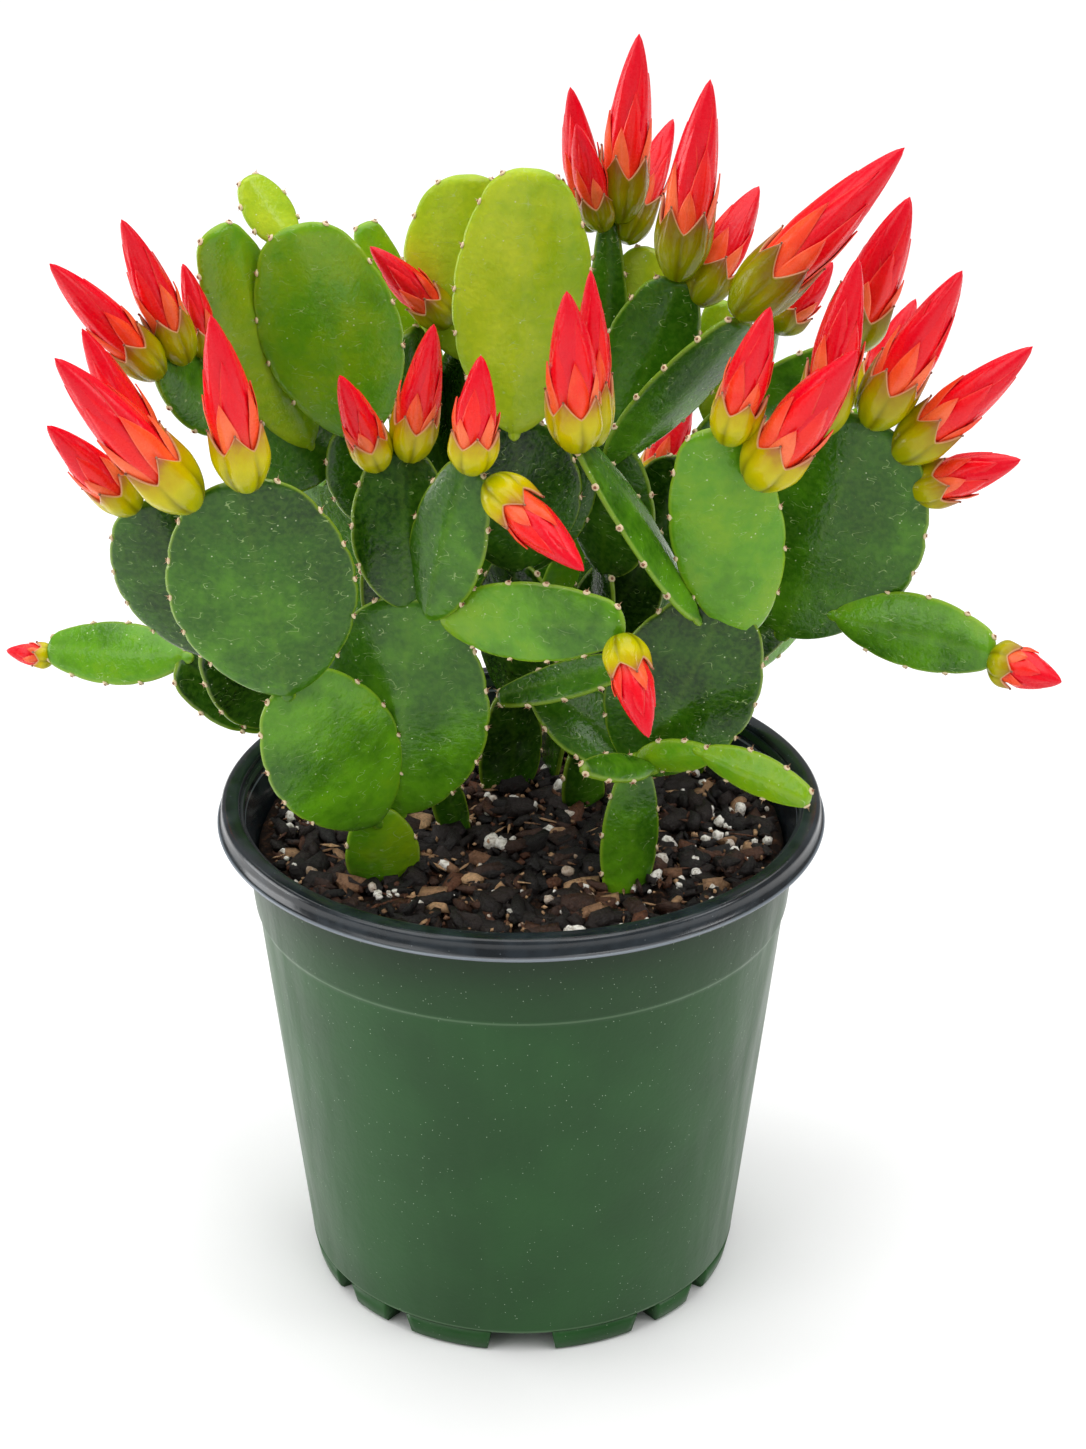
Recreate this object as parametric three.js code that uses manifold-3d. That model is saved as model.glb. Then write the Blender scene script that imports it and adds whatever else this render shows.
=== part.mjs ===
// A potted easter cactus: a nursery pot, its soil, leafy stems of flat notched pads, and unopened red buds.
// Millimetres, +Z up, origin at the middle of the pot's feet, front of the plant towards -Y.
import * as THREE from "three";
import { mergeVertices } from "three/addons/utils/BufferGeometryUtils.js";
import Module from "manifold-3d";

const wasm = await Module();
wasm.setup();

// ---- Driving dimensions ----
const POT = {
  height: 100, // feet to lip
  lipRadius: 57,
  lipFlange: 0.8, // the lip's lower edge stands out by this
  lipDrop: 4, // height of the lip's skirt
  lipInner: 53.6, // where the lip's flat top meets the inner wall
  ledgeDrop: 6, // from the lip down to the step in the inner wall
  skirt: 1.1, // thickness of the lip's skirt
  neckRadius: 52.4, // wall under the lip
  shoulderHeight: 79,
  shoulderStep: 0.7,
  shoulderRadius: 50.6,
  baseRadius: 42.6,
  wall: 1.4,
  sides: 32,
};
// The foot ring is cut into feet by notches, [angle, width] in degrees from the front, alike in each quarter.
const FEET = {
  height: 4.6,
  depth: 5.2,
  inset: 0.9,
  notches: [
    [0, 16],
    [35, 6.5],
    [55, 6.5],
  ],
};
const SOIL = { top: 91.5, relief: 2.2, rings: 6, sides: 26, gap: 0.6 };
const GAP = 0.3; // clearance between neighbouring nodes
// A pad's thickness at its edges and middle, its narrowest width, the depth of its notches and the width of
// both ends as shares of its width, and how far its foot is sunk in what bears it.
const PAD = { edge: 1.5, middle: 3.2, stalk: 3.2, notch: 0.05, footShare: 0.12, tipShare: 0.42, sunk: 2.2 };
// A bud's columns, its blades' thickness, and as shares of its length where the petals' foot is, how high the
// cup's scales reach and how deep they are cut. The cup's foot is footShare of its width, and it is widest at
// belly.
const BUD = {
  columns: 6,
  blade: 0.6,
  socket: 0.18,
  scale: 0.4,
  scaleDepth: 0.1,
  footShare: 0.45,
  belly: 0.15,
};
// Two layers of petals on the rings between the cup and the tip. Each ring is [hollow, point, pointed]: where
// its hollows and points lie, as [share of length, share of half width], and which columns are points.
const PETAL_RINGS = [
  [[0.55, 0.82], [0.7, 0.6], 1],
  [[0.56, 0.7], [0.69, 0.48], 1],
  [[0.75, 0.5], [0.86, 0.34], 0],
  [[0.76, 0.38], [0.85, 0.22], 0],
];
// Pads spread their faces to the light, forward and up by this much.
const TILT = THREE.MathUtils.degToRad(26);
const FACE = new THREE.Vector3(0, -Math.cos(TILT), Math.sin(TILT));

// ---- The plant ----
// A stem is a chain of pads. Each pad is [from, to, width, turn, lobes]: it starts at one point, ends at the
// other, is this wide, is turned by this many degrees about its own length from facing FACE, and has this many
// lobes a side.
const STEMS = {
  stem_front_left: [
    [[-24, -17, 86], [-27, -25, 109], 14, 10, 2],
    [[-26, -26, 107], [-40, -40, 142], 25, 10, 3],
    [[-40, -41, 140], [-46, -52, 184], 32, 0, 4],
    [[-22, -22, 107], [-19, -29, 153], 31, -6, 4],
    [[-20, -29, 151], [-21, -24, 179], 18, 12, 3],
    [[-16, -29, 149], [-8, -37, 181], 15, -22, 3],
    [[-14, -29, 149], [18, -46, 156], 15, 25, 3],
  ],
  stem_left: [
    [[-20, 10, 86], [-30, 2, 113], 12, 50, 2],
    [[-29, 3, 110], [-43, -4, 121], 16, 55, 2],
    [[-41, -4, 119], [-63, -12, 132], 16, 15, 3],
    [[-43, -6, 119], [-55, -24, 143], 17, 10, 2],
    [[-53, -25, 140], [-63, -36, 174], 24, -10, 3],
    [[-61, -11, 133], [-88, 0, 130], 12, 10, 3],
  ],
  stem_front_middle: [
    [[-11, 1, 86], [-16, -6, 110], 7, 20, 2],
    [[-15, -5, 107], [-21, 8, 126], 14, 65, 2],
    [[-21, 8, 123], [-26, 4, 154], 20, 50, 2],
    [[-25, 4, 152], [-30, -4, 176], 15, 5, 2],
    [[-28, -4, 173], [-38, -12, 215], 25, -4, 4],
    [[-38, 0, 170], [-52, -14, 215], 17, 22, 3],
    [[-39, -8, 210], [-47, -4, 221], 9, 20, 2],
    [[-33, 4, 166], [-52, -9, 180], 21, 8, 2],
    [[-50, -8, 177], [-61, -26, 195], 12, 20, 2],
  ],
  stem_front_right: [
    [[19, -24, 86], [21, -22, 117], 11, 15, 3],
    [[22, -22, 115], [36, -28, 152], 27, 8, 4],
    [[21, -21, 117], [3, -14, 129], 14, 25, 3],
    [[24, -26, 118], [11, -40, 125], 6, 30, 2],
    [[21, -24, 119], [34, -34, 125], 7, 30, 2],
    [[32, -33, 125], [51, -44, 121], 8, 25, 3],
    [[31, -29, 149], [10, -34, 184], 14, 62, 3],
    [[40, -27, 145], [32, -36, 187], 20, 0, 3],
    [[22, -25, 139], [-4, -20, 129], 8, 30, 2],
  ],
  stem_right: [
    [[12, 12, 86], [11, 8, 105], 9, 20, 2],
    [[11, 8, 102], [22, 2, 118], 15, 45, 2],
    [[21, 2, 117], [49, -6, 139], 12, 20, 2],
    [[48, -7, 136], [61, -18, 182], 36, -6, 4],
    [[57, -12, 142], [84, -28, 142], 14, 20, 3],
    [[30, 2, 118], [38, 10, 130], 12, 10, 2],
  ],
  stem_centre: [
    [[-3, 18, 86], [-2, 14, 115], 14, 30, 2],
    [[-2, 14, 112], [0, 6, 145], 20, -35, 2],
    [[0, 6, 143], [-1, 0, 175], 24, 8, 2],
    [[-1, -1, 173], [2, -2, 222], 25, 0, 4],
    [[0, 8, 142], [10, 7, 171], 17, 15, 2],
  ],
  stem_centre_left: [
    [[-10, 30, 86], [-14, 28, 118], 14, 70, 2],
    [[-14, 28, 115], [-13, 24, 151], 22, 65, 2],
    [[-13, 24, 148], [-9, 20, 182], 20, -40, 2],
    [[-9, 20, 179], [-10, 22, 214], 24, 4, 3],
    [[-14, 23, 150], [-21, 14, 187], 17, 45, 2],
    [[-14, 26, 160], [-29, 32, 202], 11, 10, 2],
  ],
  stem_centre_right: [
    [[5, 26, 86], [10, 24, 112], 13, -70, 2],
    [[10, 24, 109], [16, 14, 142], 22, -65, 2],
    [[16, 13, 139], [17, 4, 170], 19, -30, 3],
    [[16, 4, 165], [39, -6, 196], 15, 54, 3],
    [[17, 8, 164], [28, 8, 199], 18, 8, 3],
    [[16, 8, 157], [16, 21, 206], 8, 0, 3],
    [[17, 16, 180], [24, 23, 200], 13, 0, 2],
    [[12, 20, 120], [24, 14, 143], 16, 5, 2],
    [[23, 14, 141], [31, 12, 163], 17, 0, 2],
  ],
  stem_right_back: [
    [[18, 34, 86], [25, 34, 114], 13, 80, 2],
    [[25, 34, 111], [32, 28, 148], 22, 60, 2],
    [[32, 28, 146], [42, 22, 171], 20, 45, 2],
    [[41, 21, 168], [60, 12, 184], 13, 40, 2],
    [[37, 26, 160], [47, 30, 184], 14, 60, 2],
    [[38, 25, 162], [37, 29, 188], 11, 5, 2],
  ],
  stem_back_left: [
    [[-22, 30, 86], [-30, 40, 114], 13, 60, 2],
    [[-29, 39, 112], [-42, 50, 144], 26, -50, 2],
    [[-41, 50, 141], [-46, 56, 172], 24, -65, 2],
    [[-31, 38, 108], [-66, 36, 126], 20, -50, 2],
  ],
  stem_back: [
    [[2, 42, 86], [4, 48, 112], 12, 0, 2],
    [[4, 47, 110], [-4, 57, 142], 25, 20, 2],
    [[-4, 57, 140], [-8, 60, 172], 22, 50, 2],
    [[5, 47, 109], [24, 58, 138], 22, 35, 2],
  ],
  stem_back_right: [
    [[30, 24, 86], [37, 30, 112], 11, 0, 2],
    [[37, 30, 110], [58, 38, 138], 24, 45, 2],
    [[57, 37, 136], [66, 42, 162], 22, 65, 2],
    [[39, 31, 110], [60, 46, 125], 18, 50, 2],
  ],
};

// A bud is [from, to, width]: its cup's foot, sunk in the pad that bears it, its tip, and its greatest width.
// The stem's name leads to the buds that it bears.
const BUDS = {
  stem_front_left: {
    bud_left_4: [[-53, -53, 180], [-72, -66, 210], 11],
    bud_left_7: [[-44, -53, 183], [-48, -60, 215], 10],
    bud_middle_1: [[-24, -26, 176], [-30, -32, 195], 7.8],
    bud_middle_2: [[-19, -24, 177], [-14, -32, 204], 8.8],
    bud_middle_3: [[-8, -38, 180], [-6, -42, 202], 9],
    bud_middle_4: [[-5, -37, 178], [11, -50, 167], 9.4],
    bud_middle_8: [[17, -47, 154], [22, -56, 139], 8.5],
  },
  stem_left: {
    bud_left_5: [[-59, -35, 175], [-71, -43, 207], 9],
    bud_left_6: [[-65, -37, 173], [-77, -48, 192], 8.4],
    bud_left_8: [[-87, 0, 128], [-96, 1, 129], 5.2],
  },
  stem_front_middle: {
    bud_left_1: [[-61, -26, 193], [-76, -40, 217], 8.6],
    bud_left_2: [[-57, -22, 194], [-65, -32, 222], 8.4],
    bud_left_3: [[-53, -16, 192], [-57, -18, 210], 6],
  },
  stem_front_right: {
    bud_middle_5: [[10, -35, 183], [8, -42, 213], 10.3],
    bud_middle_6: [[13, -33, 183], [12, -34, 214], 7.3],
    bud_right_1: [[35, -37, 185], [41, -44, 211], 9.2],
    bud_right_2: [[40, -35, 177], [55, -48, 205], 11.9],
  },
  stem_right: {
    bud_right_3: [[52, -20, 180], [57, -24, 213], 10.2],
    bud_right_4: [[61, -18, 181], [74, -28, 212], 10.6],
    bud_right_5: [[66, -18, 175], [87, -26, 198], 10],
    bud_right_6: [[69, -16, 168], [87, -22, 176], 9.4],
    bud_right_7: [[83, -28, 141], [95, -34, 139], 8.8],
  },
  stem_centre_left: {
    bud_middle_7: [[-13, 18, 187], [-27, 14, 203], 8],
  },
  stem_centre_right: {
    bud_top_1: [[13, 24, 203], [9, 22, 230], 8.4],
    bud_top_2: [[15, 18, 205], [10, 12, 226], 7.4],
    bud_top_3: [[18, 20, 206], [21, 16, 241], 10],
    bud_top_4: [[19, 20, 202], [28, 34, 221], 8.1],
    bud_top_5: [[28, 8, 199], [33, 4, 236], 10.8],
    bud_top_6: [[31, 9, 194], [43, 18, 213], 10.1],
    bud_top_7: [[38, -6, 197], [65, -14, 229], 11.8],
  },
  stem_right_back: {
    bud_right_8: [[59, 12, 184], [69, 8, 214], 12],
    bud_right_9: [[47, 30, 182], [58, 30, 195], 9.3],
  },
  stem_back_left: {
    bud_back_1: [[-46, 56, 171], [-56, 63, 190], 9],
    bud_back_2: [[-66, 36, 126], [-80, 40, 134], 9],
  },
  stem_back: {
    bud_back_3: [[-8, 60, 171], [-10, 65, 194], 9],
    bud_back_4: [[25, 58, 137], [34, 64, 156], 9],
  },
  stem_back_right: {
    bud_back_5: [[66, 42, 161], [76, 48, 182], 9],
    bud_back_6: [[60, 46, 123], [72, 55, 138], 9],
  },
};

// ---- Solids ----

/** A closed triangle list as a manifold solid, turned the right way out. */
function closed(points, faces) {
  const vertProperties = new Float32Array(points.flatMap((p) => [p.x, p.y, p.z]));
  const build = (list) =>
    new wasm.Manifold(new wasm.Mesh({ numProp: 3, vertProperties, triVerts: new Uint32Array(list.flat()) }));
  const made = build(faces);
  return made.volume() > 0 ? made : build(faces.map(([a, b, c]) => [a, c, b]));
}

/** A three.js geometry as a manifold solid. */
function solidOf(geometry) {
  const bare = geometry.clone();
  bare.deleteAttribute("normal");
  bare.deleteAttribute("uv");
  const merged = mergeVertices(bare, 1e-4);
  return new wasm.Manifold(
    new wasm.Mesh({
      numProp: 3,
      vertProperties: merged.attributes.position.array,
      triVerts: new Uint32Array(merged.index.array),
    }),
  );
}

function geometryOf(solid) {
  const mesh = solid.getMesh();
  const geometry = new THREE.BufferGeometry();
  geometry.setAttribute("position", new THREE.BufferAttribute(mesh.vertProperties, 3));
  geometry.setIndex(new THREE.BufferAttribute(mesh.triVerts, 1));
  geometry.computeVertexNormals();
  return geometry;
}

const touches = (a, b) => {
  const p = a.boundingBox();
  const q = b.boundingBox();
  return [0, 1, 2].every((k) => p.min[k] < q.max[k] && q.min[k] < p.max[k]);
};

/** The largest body of a solid, without the scraps that a cut leaves. */
function largest(solid) {
  const bodies = solid.decompose();
  return bodies.reduce((best, b) => (b.volume() > best.volume() ? b : best), bodies[0]);
}

/** A band of faces between two rings of equal count; rings are index lists. */
function band(lower, upper) {
  const n = lower.length;
  return lower.flatMap((_, i) => {
    const j = (i + 1) % n;
    return [
      [lower[i], lower[j], upper[j]],
      [lower[i], upper[j], upper[i]],
    ];
  });
}

/** Half the width of a pad at share s of its length, as a share of the full half width. */
const padOutline = (s) => Math.pow(Math.sin(Math.PI * Math.pow(0.04 + 0.9 * s, 0.9)), 0.62);

/** The own frame of a pad or bud: where it starts, its length, and its along, across and out directions. */
function frameOf(from, to, turn) {
  const start = new THREE.Vector3(...from);
  const along = new THREE.Vector3(...to).sub(start);
  const length = along.length();
  along.normalize();
  const out = FACE.clone().addScaledVector(along, -FACE.dot(along)).normalize();
  out.applyAxisAngle(along, THREE.MathUtils.degToRad(turn));
  const across = new THREE.Vector3().crossVectors(along, out);
  return { start, length, along, across, out };
}

/** A flat pad: a lens with notched sides and a low middle rib, larger all over by extra. */
function pad([from, to, width, turn, lobes], extra = 0) {
  const f = frameOf(from, to, turn);
  const last = 2 * lobes; // odd stations are the lobes' middles and even ones the notches between them
  const stations = Array.from({ length: last + 1 }, (_, i) => i / last);
  const points = [];
  const rings = stations.map((s, i) => {
    const between = padOutline(s) * (i % 2 ? 1 : 1 - PAD.notch);
    const share = i === 0 ? PAD.footShare : i === last ? PAD.tipShare : between;
    const half = Math.max(PAD.stalk, share * width) / 2 + extra;
    const edge = PAD.edge / 2 + extra;
    const middle = (PAD.middle / 2) * (0.6 + 0.4 * Math.sin(Math.PI * s)) + extra;
    const where = i === 0 ? -PAD.sunk - extra : s * f.length + (i === last ? extra : 0);
    const at = (x, z) =>
      f.start.clone().addScaledVector(f.along, where).addScaledVector(f.across, x).addScaledVector(f.out, z);
    const first = points.length;
    points.push(at(-half, -edge), at(0, -middle), at(half, -edge));
    points.push(at(half, edge), at(0, middle), at(-half, edge));
    return [0, 1, 2, 3, 4, 5].map((k) => first + k);
  });
  const cap = (r) => [
    [r[0], r[1], r[4]],
    [r[0], r[4], r[5]],
    [r[1], r[2], r[3]],
    [r[1], r[3], r[4]],
  ];
  const faces = rings.slice(1).flatMap((ring, i) => band(rings[i], ring));
  faces.push(...cap(rings[0]).map(([a, b, c]) => [a, c, b]), ...cap(rings[last]));
  return closed(points, faces);
}

/** A pointed body on rings of few columns: each ring is [hollow, point, pointed] in shares of length and mm. */
function scaled(f, rings, top, foot) {
  const n = BUD.columns;
  const at = (where, radius, k) =>
    f.start
      .clone()
      .addScaledVector(f.along, where)
      .addScaledVector(f.across, radius * Math.cos((2 * Math.PI * k) / n))
      .addScaledVector(f.out, radius * Math.sin((2 * Math.PI * k) / n));
  const points = [at(foot, 0, 0)];
  const rows = rings.map(([hollow, point, pointed]) => {
    const first = points.length;
    for (let k = 0; k < n; k++) {
      const [share, radius] = k % 2 === pointed ? point : hollow;
      points.push(at(share * f.length, radius, k));
    }
    return Array.from({ length: n }, (_, k) => first + k);
  });
  points.push(at(top, 0, 0));
  const tip = points.length - 1;
  const last = rows[rows.length - 1];
  const faces = rows.slice(1).flatMap((row, i) => band(rows[i], row));
  for (let k = 0; k < n; k++) {
    const next = (k + 1) % n;
    faces.push([0, rows[0][next], rows[0][k]], [tip, last[k], last[next]]);
  }
  return closed(points, faces);
}

const inCup = (half) => 0.9 * half - GAP - BUD.blade; // the petals' radius inside their cup

/** The red petals: a round foot that sits in the cup, then two layers of pointed petals and a tip. */
function petals([from, to, width], extra = 0) {
  const f = frameOf(from, to, 0);
  const half = width / 2;
  const even = (share, radius) => [[share, radius + extra], [share, radius + extra], 0];
  const sized = ([share, radius]) => [share, radius * half + extra];
  const rings = [
    even(BUD.socket - extra / f.length, inCup(half)),
    even(BUD.scale, inCup(half)),
    even(BUD.scale + 0.06, 0.86 * half),
    ...PETAL_RINGS.map(([hollow, point, pointed]) => [sized(hollow), sized(point), pointed]),
  ];
  return scaled(f, rings, f.length + extra, BUD.socket * f.length - extra);
}

/** The olive cup that holds the petals, hollow, with pointed scales round its edge. */
function cup([from, to, width], extra = 0) {
  const f = frameOf(from, to, 0);
  const half = width / 2;
  const hollow = inCup(half) + GAP - extra;
  const floor = BUD.socket * f.length - GAP + extra;
  const point = BUD.scale + extra / f.length;
  const between = point - BUD.scaleDepth;
  const even = (share, radius) => [[share, radius], [share, radius], 0];
  const rings = [
    even(0, BUD.footShare * half + extra),
    even(BUD.belly, half + extra),
    [[between, 0.98 * half + extra], [point, 0.9 * half + extra], 0],
    [[between, hollow], [point, hollow], 0],
    even(floor / f.length, hollow),
  ];
  return scaled(f, rings, floor, -extra);
}

// ---- The pot ----

/** The inner wall's radius at a height. */
function innerRadius(z) {
  const p = POT;
  const between = THREE.MathUtils.mapLinear;
  const ledge = p.height - p.ledgeDrop;
  const low = between(z, FEET.height, p.shoulderHeight, p.baseRadius, p.shoulderRadius);
  const high = between(z, p.shoulderHeight, ledge, p.shoulderRadius, p.neckRadius);
  return (z > p.shoulderHeight ? high : low) - p.wall;
}

/** The pot: one outline turned round the axis, with the notches between its feet cut out. */
function potSolid() {
  const p = POT;
  const floor = FEET.height;
  const ledge = p.height - p.ledgeDrop;
  const outline = [
    [0, floor],
    [p.baseRadius - FEET.depth, floor],
    [p.baseRadius - FEET.depth, 0],
    [p.baseRadius - FEET.inset, 0],
    [p.baseRadius - FEET.inset * 0.4, floor],
    [p.baseRadius, floor],
    [p.shoulderRadius, p.shoulderHeight],
    [p.shoulderRadius + p.shoulderStep, p.shoulderHeight + 0.5],
    [p.neckRadius + 0.4, ledge - 0.6],
    [p.neckRadius + 0.4, p.height - p.skirt],
    [p.lipRadius - p.skirt, p.height - p.skirt],
    [p.lipRadius - p.skirt, p.height - p.lipDrop],
    [p.lipRadius + p.lipFlange, p.height - p.lipDrop],
    [p.lipRadius + p.lipFlange, p.height - p.lipDrop + 0.6],
    [p.lipRadius, p.height - p.lipDrop + 0.7],
    [p.lipRadius, p.height - 0.6],
    [p.lipRadius - 0.6, p.height],
    [p.lipInner, p.height],
    [p.neckRadius - 0.5, p.height - 0.8],
    [p.neckRadius - 0.7, ledge],
    [p.neckRadius - p.wall, ledge - 0.8],
    [p.shoulderRadius - p.wall, p.shoulderHeight],
    [p.baseRadius - p.wall, floor + p.wall],
    [0, floor + p.wall],
  ];
  const points = outline.map(([r, z]) => new THREE.Vector2(r, z));
  let made = solidOf(new THREE.LatheGeometry(points, p.sides).rotateX(Math.PI / 2));
  const quarters = [0, 90, 180, 270];
  for (const [angle, width] of quarters.flatMap((q) => FEET.notches.map(([at, w]) => [q + at - 90, w]))) {
    const across = 2 * p.baseRadius * Math.sin(THREE.MathUtils.degToRad(width / 2));
    const notch = new THREE.BoxGeometry(4 * FEET.depth, across, 2 * FEET.height)
      .translate(p.baseRadius - FEET.depth / 2, 0, 0)
      .rotateZ(THREE.MathUtils.degToRad(angle));
    made = made.subtract(solidOf(notch));
  }
  return made;
}

// ---- The soil ----

/** Soil that fills the pot, with a lumpy top, before the stems' holes are cut. */
function soilSolid() {
  const floor = FEET.height + POT.wall + GAP;
  const n = SOIL.sides;
  const points = [new THREE.Vector3(0, 0, floor), new THREE.Vector3(0, 0, SOIL.top)];
  const ring = (radius, height) => {
    const first = points.length;
    for (let k = 0; k < n; k++) {
      const angle = (2 * Math.PI * k) / n;
      points.push(new THREE.Vector3(radius * Math.cos(angle), radius * Math.sin(angle), height(k)));
    }
    return Array.from({ length: n }, (_, k) => first + k);
  };
  const flat = (z) => () => z;
  const side = (z) => innerRadius(z) - SOIL.gap;
  const outside = SOIL.top - SOIL.relief;
  const rings = [floor, POT.shoulderHeight, outside].map((z) => ring(side(z), flat(z)));
  for (let i = SOIL.rings - 1; i > 0; i--) {
    const radius = (side(outside) * i) / SOIL.rings;
    // The lumps of neighbouring points are unlike each other.
    const lump = (k) => Math.sin(13 * k + 78 * i) * Math.cos(4.1 * k * i);
    rings.push(ring(radius, (k) => SOIL.top + (SOIL.relief / 2) * lump(k)));
  }
  const faces = rings.slice(1).flatMap((r, i) => band(rings[i], r));
  const last = rings[rings.length - 1];
  last.forEach((a, k) => {
    faces.push([1, a, last[(k + 1) % n]]);
    faces.push([0, rings[0][(k + 1) % n], rings[0][k]]);
  });
  return closed(points, faces);
}

// ---- Assembly ----
const MATERIALS = {
  pot: new THREE.MeshStandardMaterial({ color: 0x33502f, roughness: 0.45 }),
  soil: new THREE.MeshStandardMaterial({ color: 0x2c1f18, roughness: 0.95 }),
  stem: new THREE.MeshStandardMaterial({ color: 0x3f7a2a, roughness: 0.45 }),
  bud: new THREE.MeshStandardMaterial({ color: 0xe01f26, roughness: 0.4 }),
};

const group = new THREE.Group();
function add(name, solid, material) {
  const mesh = new THREE.Mesh(geometryOf(solid), material);
  mesh.name = name;
  group.add(mesh);
}

const pot = potSolid();
add("pot", pot, MATERIALS.pot);

// What later pieces keep clear of: [what it is, its body grown by the gap].
const cleared = [];
function keepClear(solid, own = "") {
  const near = cleared.filter(([name, body]) => name !== own && touches(body, solid));
  const left = near.reduce((rest, [, body]) => rest.subtract(body), solid);
  return near.length ? largest(left) : solid;
}

let soil = soilSolid();
for (const [name, pads] of Object.entries(STEMS)) {
  const borne = Object.entries(BUDS[name] ?? {});
  let stem = pads.map((p) => pad(p)).reduce((a, b) => a.add(b));
  stem = borne.reduce((left, [, line]) => left.add(cup(line)), stem);
  add(name, keepClear(stem), MATERIALS.stem);
  const grown = pads.map((p) => pad(p, GAP));
  cleared.push(...grown.map((body) => [name, body]), ...borne.map(([bud, line]) => [bud, cup(line, GAP)]));
  soil = grown.reduce((left, body) => (touches(left, body) ? left.subtract(body) : left), soil);
}
add("soil", largest(soil), MATERIALS.soil);

for (const [bud, line] of Object.values(BUDS).flatMap(Object.entries)) {
  add(bud, keepClear(petals(line), bud), MATERIALS.bud);
  cleared.push([bud, petals(line, GAP)]);
}

export default group;
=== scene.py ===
# %% [markdown]
# # A potted easter cactus
# The plant is flat leafy stems, grown pad on pad, with closed red flower buds at their ends. It stands in
# bark soil in a thin green nursery pot with a black lip. This script dresses the plain solids of the frame
# with fine surfaces and with finishes made of nodes. Everything is worked out in millimetres and put into
# the meshes in metres.

import math
from dataclasses import dataclass

import bpy
import numpy as np
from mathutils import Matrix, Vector


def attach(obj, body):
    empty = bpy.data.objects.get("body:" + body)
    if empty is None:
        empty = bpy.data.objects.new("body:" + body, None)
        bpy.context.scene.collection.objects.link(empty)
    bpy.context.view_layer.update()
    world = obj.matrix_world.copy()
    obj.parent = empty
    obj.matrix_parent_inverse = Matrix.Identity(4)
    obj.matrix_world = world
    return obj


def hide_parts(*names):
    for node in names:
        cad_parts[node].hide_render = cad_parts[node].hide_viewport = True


MM = 0.001
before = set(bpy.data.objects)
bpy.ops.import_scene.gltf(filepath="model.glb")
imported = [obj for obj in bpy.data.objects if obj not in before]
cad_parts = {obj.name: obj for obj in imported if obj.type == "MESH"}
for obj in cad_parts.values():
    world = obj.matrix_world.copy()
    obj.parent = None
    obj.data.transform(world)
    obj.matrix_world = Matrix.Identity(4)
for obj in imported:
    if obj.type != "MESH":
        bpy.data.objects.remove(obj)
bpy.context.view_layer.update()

# %% [markdown]
# ## The layout
# The same places as in the solids, in millimetres. A pad is [from, to, width, turn, tone]: turn is how many
# degrees its face is turned about its own length from FACE, and tone runs from 0, an old deep green pad,
# to 1, a young lime one. A bud is [from, to, width]. The lists are given one by one because no rule gives one
# real plant; the shapes below are all by rule.

# %% Pads and buds
TILT = math.radians(26)
FACE = np.array([0, -math.cos(TILT), math.sin(TILT)])

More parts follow.
